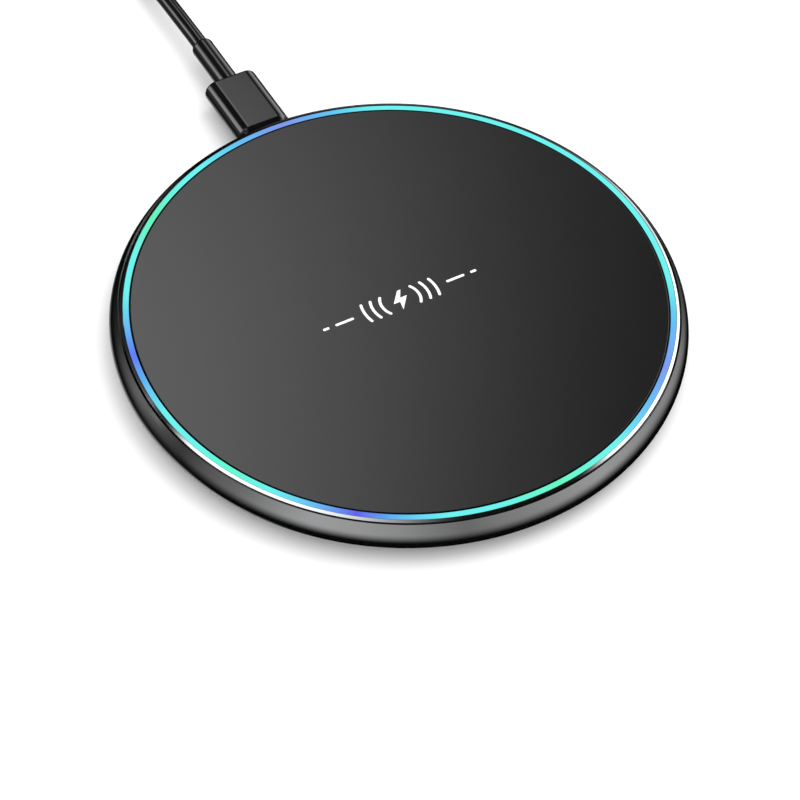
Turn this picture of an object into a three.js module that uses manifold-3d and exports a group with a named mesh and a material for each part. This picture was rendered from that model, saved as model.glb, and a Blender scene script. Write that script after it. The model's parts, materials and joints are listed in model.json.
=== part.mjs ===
// A round wireless charging pad, 101 mm across, with its USB cable plugged in at the back.
// Millimetres, +Z up. The origin is the middle of the surface that the rubber feet stand on, and +Y is
// the back, where the cable comes out.
import * as THREE from "three";
import { mergeVertices } from "three/addons/utils/BufferGeometryUtils.js";
import Module from "manifold-3d";

// ---------------------------------------------------------------- driving dimensions

const PAD_RADIUS = 50.4; // the frame ring's wall at its widest
const PAD_HEIGHT = 7.8; // from the feet to the top plate
const WIDEST_AT = 3.7; // height of the wall's widest line

// Radii of the rings, from the inside out.
const PLATE_RADIUS = 46.6;
const GUIDE_FLANGE = 44.8; // the light guide reaches in under the top plate
const GUIDE_INNER = 47.02;
const GUIDE_OUTER = 47.92;
const TOP_BORE = 48; // the frame ring's opening at the top
const CHAMFER_RADIUS = 48.66; // outer edge of the polished chamfer
const WALL_BORE = 46.6; // inside of the frame ring's wall
const COVER_SEAT = 47.2; // step that the bottom cover sits in
const COVER_RADIUS = 47;
const COVER_BEVEL = 0.6;
const BOARD_RADIUS = 45.8;

// Heights of the layers, from the bottom up.
const COVER_BOTTOM = 1.1;
const SKIRT_BOTTOM = 1.8; // lower edge of the frame ring
const COVER_TOP = 2.2;
const WALL_BOTTOM = 2.25; // the ring's step over the cover
const BOARD_BOTTOM = 2.6;
const BOARD_TOP = 3.6;
const FERRITE_BOTTOM = 3.7;
const FERRITE_TOP = 4.7;
const COIL_MIDDLE = 5.3;
const GUIDE_BOTTOM = 5.8;
const GUIDE_LEDGE = 6.5;
const PLATE_BOTTOM = 6.6;

// Screws, and the feet that hide them.
const FOOT_CIRCLE = 41.5;
const FOOT_RADIUS = 4.5;
const FOOT_RECESS = 0.4;
const SCREW_RADIUS = 0.8;
const SCREW_HEAD_RADIUS = 1.6;
const SCREW_HEAD_BOTTOM = 1.56;
const SCREW_HEAD_TOP = 2.05;
const SCREW_TIP = 4.9;
const STANDOFF_RADIUS = 3;
const POST_RADIUS = 2.5;
const LUG_LENGTH = 7;
const LUG_WIDTH = 5;
const LUG_BOTTOM = 4.6;
const LUG_TOP = 5.6;
const LUG_MIDDLE = 43.5; // distance of a lug's middle from the axis
const BORE_TOP = 5.1;
const CORNER_ANGLES = [45, 135, 225, 315];

// Transmitter coil: a flat spiral of two wires side by side.
const COIL_INNER = 11;
const COIL_PITCH = 1.9;
const COIL_WIDTH = 1.6;
const COIL_THICKNESS = 1;
const COIL_START_ANGLE = -40;
const COIL_END_ANGLE = -95;
const COIL_WHOLE_TURNS = 7;
const LEAD_RADIUS = 0.48;
const LEAD_HEIGHT = 4.15;
const FERRITE_RADIUS = 26.5;
const FERRITE_HOLE = 8;
const LEAD_SLOT = 2.2;

// LEDs under the light guide.
const LED_COUNT = 8;
const LED_CIRCLE = 44.5;

// USB-C socket and plug, on one axis along Y.
const PORT_HEIGHT = 3.95;
const PORT_WIDTH = 9;
const PORT_OPENING = 3;
const POCKET_WIDTH = 9.3; // room inside the ring for the socket
const POCKET_TOP = 5.85;
const SOCKET_BACK = 41.6;
const SOCKET_MOUTH = 48.7;
const PLUG_TIP = 43.65;
const OVERMOLD_FRONT = 50.5;
const OVERMOLD_BACK = 64.7;
const OVERMOLD_WIDTH = 10.5;
const OVERMOLD_THICKNESS = 4.7;
const RELIEF_BACK = 76.2;
const RELIEF_RADIUS = 2.1;

// Cable: 3 mm round, stored in a coil of three columns and three layers behind the pad.
const CORD_RADIUS = 1.5;
const CORD_COIL_X = 20;
const CORD_COIL_Y = 120;
const CORD_COIL_MEAN = 17.5;
const CORD_COIL_HALF = 4.5; // half the width and height of the coil's section
const CORD_COIL_LIFT = 0.8; // the tie passes under the coil

// USB-A plug at the far end, on an axis along Y beside the coil, pointing to -Y.
const TYPE_A_X = 50;
const TYPE_A_HEIGHT = 3.8;
const TYPE_A_RELIEF_BACK = 125.5;
const TYPE_A_MOLD_BACK = 113.5;
const TYPE_A_MOLD_FRONT = 91.5;
const TYPE_A_TIP = 79.5;

const TOUCH_GAP = 0.3; // between the ends of the cord's solids
const ROUND_SIDES = 48;

// ---------------------------------------------------------------- solids

const wasm = await Module();
wasm.setup();

function toSolid(geometry) {
  const bare = geometry.clone();
  bare.deleteAttribute("normal");
  bare.deleteAttribute("uv");
  const merged = mergeVertices(bare, 1e-4);
  const mesh = new wasm.Mesh({
    numProp: 3,
    vertProperties: merged.attributes.position.array,
    triVerts: new Uint32Array(merged.index.array),
  });
  return new wasm.Manifold(mesh);
}

function toGeometry(solid) {
  const mesh = solid.getMesh();
  const geometry = new THREE.BufferGeometry();
  geometry.setAttribute("position", new THREE.BufferAttribute(mesh.vertProperties, 3));
  geometry.setIndex(new THREE.BufferAttribute(mesh.triVerts, 1));
  geometry.computeVertexNormals();
  return geometry;
}

function join(geometry, others) {
  return toGeometry(others.reduce((solid, other) => solid.add(toSolid(other)), toSolid(geometry)));
}

function cut(geometry, tools) {
  return toGeometry(tools.reduce((solid, tool) => solid.subtract(toSolid(tool)), toSolid(geometry)));
}

// A solid of revolution about Z, from a profile of [radius, height] points.
function turned(profile, sides = ROUND_SIDES) {
  const points = profile.map(([radius, height]) => new THREE.Vector2(radius, height));
  return new THREE.LatheGeometry(points, sides).rotateX(Math.PI / 2);
}

function disc(radius, low, high, sides = ROUND_SIDES) {
  return turned([[0, low], [radius, low], [radius, high], [0, high]], sides);
}

function hoop(inner, outer, low, high, sides = ROUND_SIDES) {
  return turned([[inner, low], [outer, low], [outer, high], [inner, high], [inner, low]], sides);
}

// A box standing on the height low.
function block(width, depth, height, x, y, low) {
  return new THREE.BoxGeometry(width, depth, height).translate(x, y, low + height / 2);
}

// An outline with half-round ends.
function stadium(width, height, arcSteps = 6) {
  const radius = height / 2;
  const points = [];
  for (const side of [1, -1]) {
    for (let i = 0; i <= arcSteps; i += 1) {
      const angle = (i / arcSteps - 0.5) * Math.PI;
      const x = width / 2 - radius + radius * Math.cos(angle);
      points.push(new THREE.Vector2(side * x, side * radius * Math.sin(angle)));
    }
  }
  return new THREE.Shape(points);
}

function rectangle(left, right, low, high) {
  const corners = [[left, low], [right, low], [right, high], [left, high]];
  return new THREE.Shape(corners.map(([x, y]) => new THREE.Vector2(x, y)));
}

function withHole(shape, hole) {
  shape.holes.push(hole);
  return shape;
}

// A bar along Y, whose outline is drawn in X and Z, with chamfered ends where bevel isn't 0.
function bar(shape, front, back, bevel = 0) {
  const settings = {
    depth: back - front - 2 * bevel,
    bevelEnabled: bevel > 0,
    bevelThickness: bevel,
    bevelSize: bevel,
    bevelOffset: -bevel,
    bevelSegments: 1,
  };
  return new THREE.ExtrudeGeometry(shape, settings).rotateX(Math.PI / 2).translate(0, back - bevel, 0);
}

function sweep(points, section, steps) {
  const route = new THREE.CatmullRomCurve3(points.map((point) => new THREE.Vector3(...point)));
  return new THREE.ExtrudeGeometry(section, { steps, extrudePath: route });
}

function tube(points, radius, steps, sides = 8) {
  const corners = [];
  for (let i = 0; i < sides; i += 1) {
    const angle = (2 * Math.PI * (i + 0.5)) / sides;
    corners.push(new THREE.Vector2(radius * Math.cos(angle), radius * Math.sin(angle)));
  }
  return sweep(points, new THREE.Shape(corners), steps);
}

function onCircle(radius, degrees) {
  const angle = THREE.MathUtils.degToRad(degrees);
  return [radius * Math.cos(angle), radius * Math.sin(angle)];
}

function piece(name, geometry, material) {
  const mesh = new THREE.Mesh(geometry, material);
  mesh.name = name;
  return mesh;
}

function finish(color, roughness, metalness = 0) {
  return new THREE.MeshStandardMaterial({ color, roughness, metalness });
}

// ---------------------------------------------------------------- materials

const GUNMETAL = finish(0x3a3b3d, 0.3, 0.9);
const TOP_COATING = finish(0x333335, 0.5);
const LIT_PLASTIC = finish(0x6ff0f0, 0.4);
const BLACK_PLASTIC = finish(0x1c1c1e, 0.55);
const GLOSS_PLASTIC = finish(0x111113, 0.2);
const CABLE_JACKET = finish(0x161618, 0.35);
const RUBBER = finish(0x222222, 0.85);
const ADHESIVE = finish(0x9a9a94, 0.7);
const FOAM = finish(0x4a4a4c, 0.95);
const BOARD_GREEN = finish(0x1f5a36, 0.45);
const COPPER = finish(0xb8703a, 0.4, 0.7);
const FERRITE = finish(0x3d3d40, 0.7);
const STEEL = finish(0xb9bcc0, 0.3, 1);
const SCREW_STEEL = finish(0x8d9094, 0.35, 1);
const CHIP_BLACK = finish(0x18181a, 0.6);
const CERAMIC = finish(0xa98a63, 0.6);
const LED_WHITE = finish(0xf2f1e6, 0.4);

// ---------------------------------------------------------------- housing

// Lugs inside the ring, with a screw post under each, at the four screws.
function frameLugs() {
  return CORNER_ANGLES.map((degrees) => {
    const [x, y] = onCircle(FOOT_CIRCLE, degrees);
    const arm = block(LUG_LENGTH, LUG_WIDTH, LUG_TOP - LUG_BOTTOM, LUG_MIDDLE, 0, LUG_BOTTOM);
    const post = disc(POST_RADIUS, BOARD_TOP, LUG_TOP, 16).translate(x, y, 0);
    return join(arm.rotateZ(THREE.MathUtils.degToRad(degrees)), [post]);
  });
}

function frameRing() {
  const body = turned([
    [COVER_SEAT, SKIRT_BOTTOM],
    [48.4, SKIRT_BOTTOM],
    [49.3, 2.1],
    [49.9, 2.7],
    [PAD_RADIUS, WIDEST_AT],
    [50.2, 5],
    [49.75, 6.2],
    [49.05, 7.33],
    [48.92, 7.15],
    [48.78, 7.15],
    [CHAMFER_RADIUS, 7.44],
    [TOP_BORE, PAD_HEIGHT],
    [TOP_BORE, GUIDE_BOTTOM],
    [WALL_BORE, GUIDE_BOTTOM],
    [WALL_BORE, WALL_BOTTOM],
    [COVER_SEAT, WALL_BOTTOM],
    [COVER_SEAT, SKIRT_BOTTOM],
  ]);
  const bores = CORNER_ANGLES.map((degrees) => {
    const [x, y] = onCircle(FOOT_CIRCLE, degrees);
    return disc(SCREW_RADIUS + 0.06, BOARD_TOP - 0.5, BORE_TOP, 12).translate(x, y, 0);
  });
  const pocketFront = SOCKET_BACK - 3.6;
  const pocketDepth = SOCKET_MOUTH + 0.1 - pocketFront;
  const pocketMiddle = pocketFront + pocketDepth / 2;
  const pocket = block(POCKET_WIDTH, pocketDepth, POCKET_TOP - WALL_BOTTOM, 0, pocketMiddle, WALL_BOTTOM);
  const mouth = bar(stadium(PORT_WIDTH, PORT_OPENING), TOP_BORE, PAD_RADIUS + 1);
  return cut(join(body, frameLugs()), [...bores, pocket, mouth.translate(0, 0, PORT_HEIGHT)]);
}

function lightGuide() {
  return turned([
    [GUIDE_FLANGE, GUIDE_BOTTOM],
    [GUIDE_OUTER, GUIDE_BOTTOM],
    [GUIDE_OUTER, PAD_HEIGHT],
    [GUIDE_INNER, PAD_HEIGHT],
    [GUIDE_INNER, GUIDE_LEDGE],
    [GUIDE_FLANGE, GUIDE_LEDGE],
    [GUIDE_FLANGE, GUIDE_BOTTOM],
  ]);
}

function topPlate() {
  const edge = 0.15;
  return turned([
    [0, PLATE_BOTTOM],
    [PLATE_RADIUS - edge, PLATE_BOTTOM],
    [PLATE_RADIUS, PLATE_BOTTOM + edge],
    [PLATE_RADIUS, PAD_HEIGHT - edge],
    [PLATE_RADIUS - edge, PAD_HEIGHT],
    [0, PAD_HEIGHT],
  ]);
}

// The cover has a recess for each foot, a counterbored screw hole in it, and a standoff for the board.
function bottomCover() {
  const plate = turned([
    [0, COVER_BOTTOM],
    [COVER_RADIUS - COVER_BEVEL, COVER_BOTTOM],
    [COVER_RADIUS, COVER_BOTTOM + COVER_BEVEL],
    [COVER_RADIUS, COVER_TOP],
    [0, COVER_TOP],
  ]);
  const standoffs = [];
  const holes = [];
  for (const degrees of CORNER_ANGLES) {
    const [x, y] = onCircle(FOOT_CIRCLE, degrees);
    const recessTop = COVER_BOTTOM + FOOT_RECESS;
    standoffs.push(disc(STANDOFF_RADIUS, COVER_TOP - 0.2, BOARD_BOTTOM, 16).translate(x, y, 0));
    holes.push(disc(FOOT_RADIUS + 0.1, 0.5, recessTop, 24).translate(x, y, 0));
    holes.push(disc(SCREW_HEAD_RADIUS + 0.15, 1, SCREW_HEAD_TOP, 16).translate(x, y, 0));
    holes.push(disc(SCREW_RADIUS + 0.15, 1, 3, 12).translate(x, y, 0));
  }
  return cut(join(plate, standoffs), holes);
}

function foot() {
  const top = COVER_BOTTOM + FOOT_RECESS;
  const sole = FOOT_RADIUS - 0.6;
  const side = [[sole, 0], [sole + 0.4, 0.3], [FOOT_RADIUS, COVER_BOTTOM], [FOOT_RADIUS, top]];
  return turned([[0, 0], ...side, [0, top]], 20);
}

function screw() {
  return turned([
    [0, SCREW_HEAD_BOTTOM + 0.24],
    [0.6, SCREW_HEAD_BOTTOM],
    [SCREW_HEAD_RADIUS, SCREW_HEAD_BOTTOM],
    [SCREW_HEAD_RADIUS, SCREW_HEAD_TOP],
    [SCREW_RADIUS, SCREW_HEAD_TOP],
    [SCREW_RADIUS, SCREW_TIP],
    [0, SCREW_TIP],
  ], 12);
}

// ---------------------------------------------------------------- electronics

function mainBoard() {
  const notchFront = SOCKET_BACK - 0.4;
  const notch = block(POCKET_WIDTH + 0.1, 8, 3, 0, notchFront + 4, COVER_TOP - 0.2);
  const holes = CORNER_ANGLES.map((degrees) => {
    const [x, y] = onCircle(FOOT_CIRCLE, degrees);
    return disc(SCREW_RADIUS + 0.2, 2, 4, 12).translate(x, y, 0);
  });
  return cut(disc(BOARD_RADIUS, BOARD_BOTTOM, BOARD_TOP), [notch, ...holes]);
}

// The shield and its tape are rings with a slot for the coil's inner lead.
function slottedRing(radius, low, high) {
  const slot = block(LEAD_SLOT, 24, 3, 0, -18, BOARD_TOP - 0.6);
  return cut(hoop(FERRITE_HOLE, radius, low, high), [slot]);
}

// A flat spiral, with a lead from its middle through the shield's slot and one from its outer end.
function coilWinding() {
  const turnDegrees = 360 * COIL_WHOLE_TURNS + COIL_END_ANGLE - COIL_START_ANGLE;
  const steps = Math.round(turnDegrees / 15);
  const spiral = [];
  for (let i = 0; i <= steps; i += 1) {
    const swept = (turnDegrees * i) / steps;
    const radius = COIL_INNER + (COIL_PITCH * swept) / 360;
    spiral.push([...onCircle(radius, COIL_START_ANGLE + swept), COIL_MIDDLE]);
  }
  const section = rectangle(-COIL_THICKNESS / 2, COIL_THICKNESS / 2, -COIL_WIDTH / 2, COIL_WIDTH / 2);
  const innerLead = [
    [0, -31, LEAD_HEIGHT],
    [0, -21, LEAD_HEIGHT],
    [0, -10.5, LEAD_HEIGHT],
    [0.4, -7.6, 4.3],
    [2.2, -5.9, 4.8],
    [5.2, -6.3, 5.25],
    spiral[0],
    spiral[1],
  ];
  const outerLead = [
    spiral[steps - 1],
    spiral[steps],
    [2.2, -24.3, COIL_MIDDLE],
    [5, -25.8, COIL_MIDDLE],
    [6.3, -28.3, 4.95],
    [6.4, -30.4, 4.3],
    [6.4, -33, LEAD_HEIGHT],
  ];
  const leads = [tube(innerLead, LEAD_RADIUS, 22, 6), tube(outerLead, LEAD_RADIUS, 10, 6)];
  return join(sweep(spiral, section, 200), leads);
}

function socketShell() {
  const shape = withHole(stadium(8.94, 3.26), stadium(8.4, 2.7));
  return bar(shape, SOCKET_BACK, SOCKET_MOUTH).translate(0, 0, PORT_HEIGHT);
}

function socketTongue() {
  const root = bar(stadium(8.2, 2.5), SOCKET_BACK + 0.2, 43.3);
  const tongue = bar(rectangle(-3.35, 3.35, -0.35, 0.35), 43, 48);
  return join(root, [tongue]).translate(0, 0, PORT_HEIGHT);
}

// Board parts: name, size along X, Y and Z, and the middle in X and Y.
const BOARD_PARTS = [
  ["controller_chip", 5, 5, 0.9, 0, 34.5, CHIP_BLACK],
  ["half_bridge_left", 5, 6, 1, -9.5, 34, CHIP_BLACK],
  ["half_bridge_right", 5, 6, 1, 9.5, 34, CHIP_BLACK],
  ["input_capacitor", 3.5, 2.8, 1.9, -16.5, 36.5, CERAMIC],
  ["power_inductor", 6.6, 6.6, 1.9, 18.5, 33, FERRITE],
  ["crystal", 3.2, 2.5, 0.8, 8.8, 40.2, STEEL],
];

function boardParts() {
  const parts = BOARD_PARTS.map(([name, width, depth, height, x, y, material]) =>
    piece(name, block(width, depth, height, x, y, BOARD_TOP), material),
  );
  const pitch = 4.2;
  for (let i = 0; i < 4; i += 1) {
    const chip = block(3.2, 2.5, 1.9, pitch * (i - 2.5), -36.5, BOARD_TOP);
    parts.push(piece(`resonant_capacitor_${i + 1}`, chip, CERAMIC));
  }
  parts.push(piece("thermistor", disc(1.5, BOARD_TOP, 5.6, 12), CHIP_BLACK));
  return parts;
}

// ---------------------------------------------------------------- USB-C plug

function plugShell() {
  const shape = withHole(stadium(8.2, 2.4), stadium(7.5, 1.7));
  return bar(shape, PLUG_TIP, OVERMOLD_FRONT + 1.9).translate(0, 0, PORT_HEIGHT);
}

function plugInsulator() {
  const core = bar(stadium(7.3, 1.5), PLUG_TIP + 0.1, OVERMOLD_FRONT + 1.9);
  const slot = bar(rectangle(-3.45, 3.45, -0.5, 0.5), 43, 48.3);
  return cut(core, [slot]).translate(0, 0, PORT_HEIGHT);
}

function plugOvermold() {
  const body = bar(stadium(OVERMOLD_WIDTH, OVERMOLD_THICKNESS, 8), OVERMOLD_FRONT, OVERMOLD_BACK, 0.6);
  const socket = bar(stadium(8.4, 2.6), OVERMOLD_FRONT - 1, OVERMOLD_FRONT + 2);
  return cut(body, [socket]).translate(0, 0, PORT_HEIGHT);
}

function plugRelief() {
  const length = RELIEF_BACK - OVERMOLD_BACK;
  const edge = RELIEF_RADIUS - 0.3;
  const profile = [[0, 0], [RELIEF_RADIUS, 0], [RELIEF_RADIUS, length - 0.3], [edge, length], [0, length]];
  return turned(profile, 16).rotateX(-Math.PI / 2).translate(0, OVERMOLD_BACK, PORT_HEIGHT);
}

// ---------------------------------------------------------------- cord

// Straight out of the strain relief, then down onto the lowest layer of the coil.
const CORD_RUN = [
  [0, RELIEF_BACK + TOUCH_GAP, 3.95],
  [0, 79, 3.95],
  [-0.05, 82, 3.95],
  [-0.1, 85, 3.94],
  [-0.15, 88, 3.92],
  [-0.2, 91, 3.85],
  [-0.28, 94, 3.68],
  [-0.36, 97, 3.38],
  [-0.43, 100, 3.02],
  [-0.48, 103, 2.68],
  [-0.5, 106, 2.42],
  [-0.5, 108.4, 2.32],
];

// Off the top of the coil, down towards the floor, round the corner, and into the USB-A strain relief.
const CORD_TAIL = [
  [31.6, 140.45, 6.6],
  [34, 140.5, 5.6],
  [37.5, 140.1, 4.3],
  [41, 138.7, 3.2],
  [44.5, 136.2, 2.5],
  [47.2, 133, 2.4],
  [49.1, 130, 3],
  [49.95, 127.6, 3.65],
  [TYPE_A_X, TYPE_A_RELIEF_BACK + TOUCH_GAP, TYPE_A_HEIGHT],
];

// The coil's outer shape: a ring with a square section, a little rounded at the corners.
function cordCoil() {
  const inner = CORD_COIL_MEAN - CORD_COIL_HALF;
  const outer = CORD_COIL_MEAN + CORD_COIL_HALF;
  const low = CORD_COIL_LIFT;
  const high = CORD_COIL_LIFT + 2 * CORD_COIL_HALF;
  const corner = 0.5;
  const ring = turned([
    [inner + corner, low],
    [outer - corner, low],
    [outer, low + corner],
    [outer, high - corner],
    [outer - corner, high],
    [inner + corner, high],
    [inner, high - corner],
    [inner, low + corner],
    [inner + corner, low],
  ], 40);
  return ring.translate(CORD_COIL_X, CORD_COIL_Y, 0);
}

// A band round the coil's section, on the side away from the pad's cable.
function coilTie() {
  const thickness = 0.5;
  const left = CORD_COIL_X + CORD_COIL_MEAN - CORD_COIL_HALF - 0.6;
  const right = CORD_COIL_X + CORD_COIL_MEAN + CORD_COIL_HALF + TOUCH_GAP;
  const high = CORD_COIL_LIFT + 2 * CORD_COIL_HALF + TOUCH_GAP;
  const outside = rectangle(left - thickness, right + thickness, 0, high + thickness);
  const band = withHole(outside, rectangle(left, right, thickness, high));
  return bar(band, CORD_COIL_Y - 2.5, CORD_COIL_Y + 2.5);
}

// ---------------------------------------------------------------- USB-A plug

function typeARelief() {
  const neck = turned([[0, 0], [1.9, 0], [2.3, 12], [0, 12]], 16).rotateX(Math.PI / 2);
  return neck.translate(TYPE_A_X, TYPE_A_RELIEF_BACK, TYPE_A_HEIGHT);
}

function typeAOvermold() {
  const outline = rectangle(-7.75, 7.75, -3.8, 3.8);
  const body = bar(outline, TYPE_A_MOLD_FRONT, TYPE_A_MOLD_BACK, 0.8);
  const socket = bar(rectangle(-6.15, 6.15, -2.4, 2.4), 90, TYPE_A_MOLD_FRONT + 4.1);
  return cut(body, [socket]).translate(TYPE_A_X, 0, TYPE_A_HEIGHT);
}

function typeAShell() {
  const shape = withHole(rectangle(-6, 6, -2.25, 2.25), rectangle(-5.65, 5.65, -1.9, 1.9));
  return bar(shape, TYPE_A_TIP, TYPE_A_MOLD_FRONT + 4).translate(TYPE_A_X, 0, TYPE_A_HEIGHT);
}

// The contact tongue fills the shell's lower half, and a block closes its back.
function typeATongue() {
  const tongue = bar(rectangle(-5.55, 5.55, -1.8, 0.1), TYPE_A_TIP + 0.5, TYPE_A_MOLD_FRONT + 3.9);
  const back = bar(rectangle(-5.55, 5.55, -1.8, 1.8), TYPE_A_MOLD_FRONT + 0.5, TYPE_A_MOLD_FRONT + 3.9);
  return join(tongue, [back]).translate(TYPE_A_X, 0, TYPE_A_HEIGHT);
}

// ---------------------------------------------------------------- assembly

const housing = new THREE.Group();
housing.add(piece("frame_ring", frameRing(), GUNMETAL));
housing.add(piece("light_guide", lightGuide(), LIT_PLASTIC));
housing.add(piece("top_plate", topPlate(), TOP_COATING));
housing.add(piece("plate_adhesive", hoop(44.9, 46.3, GUIDE_LEDGE, PLATE_BOTTOM, 36), ADHESIVE));
housing.add(piece("bottom_cover", bottomCover(), BLACK_PLASTIC));
CORNER_ANGLES.forEach((degrees, i) => {
  const [x, y] = onCircle(FOOT_CIRCLE, degrees);
  const corner = new THREE.Group();
  corner.position.set(x, y, 0);
  corner.add(piece(`foot_${i + 1}`, foot(), RUBBER));
  corner.add(piece(`screw_${i + 1}`, screw(), SCREW_STEEL));
  housing.add(corner);
});

const electronics = new THREE.Group();
electronics.add(piece("main_board", mainBoard(), BOARD_GREEN));
electronics.add(piece("ferrite_tape", slottedRing(FERRITE_RADIUS - 1, BOARD_TOP, FERRITE_BOTTOM), ADHESIVE));
electronics.add(piece("ferrite_shield", slottedRing(FERRITE_RADIUS, FERRITE_BOTTOM, FERRITE_TOP), FERRITE));
electronics.add(piece("coil_winding", coilWinding(), COPPER));
electronics.add(piece("coil_foam_pad", disc(24.5, 5.9, 6.55, 36), FOAM));
electronics.add(piece("usb_socket_shell", socketShell(), STEEL));
electronics.add(piece("usb_socket_tongue", socketTongue(), CHIP_BLACK));
electronics.add(...boardParts());
for (let i = 0; i < LED_COUNT; i += 1) {
  const body = block(1.6, 3.2, 1.2, LED_CIRCLE, 0, BOARD_TOP + 0.02);
  const led = piece(`led_${i + 1}`, body, LED_WHITE);
  const spoke = new THREE.Group();
  spoke.rotation.z = THREE.MathUtils.degToRad((360 / LED_COUNT) * (i + 0.5));
  spoke.add(led);
  electronics.add(spoke);
}

const cable = new THREE.Group();
cable.add(piece("usb_c_plug_shell", plugShell(), STEEL));
cable.add(piece("usb_c_plug_insulator", plugInsulator(), CHIP_BLACK));
cable.add(piece("usb_c_overmold", plugOvermold(), GLOSS_PLASTIC));
cable.add(piece("usb_c_strain_relief", plugRelief(), CABLE_JACKET));
cable.add(piece("cord_run", tube(CORD_RUN, CORD_RADIUS, 12), CABLE_JACKET));
cable.add(piece("cord_coil", cordCoil(), CABLE_JACKET));
cable.add(piece("cord_tail", tube(CORD_TAIL, CORD_RADIUS, 12), CABLE_JACKET));
cable.add(piece("coil_tie", coilTie(), RUBBER));
cable.add(piece("usb_a_strain_relief", typeARelief(), CABLE_JACKET));
cable.add(piece("usb_a_overmold", typeAOvermold(), GLOSS_PLASTIC));
cable.add(piece("usb_a_shell", typeAShell(), STEEL));
cable.add(piece("usb_a_tongue", typeATongue(), CHIP_BLACK));

const chargingPad = new THREE.Group();
chargingPad.add(housing, electronics, cable);

export default chargingPad;
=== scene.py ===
"""The looks of a round wireless charging pad with a lit ring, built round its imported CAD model."""

import json
import math

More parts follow.
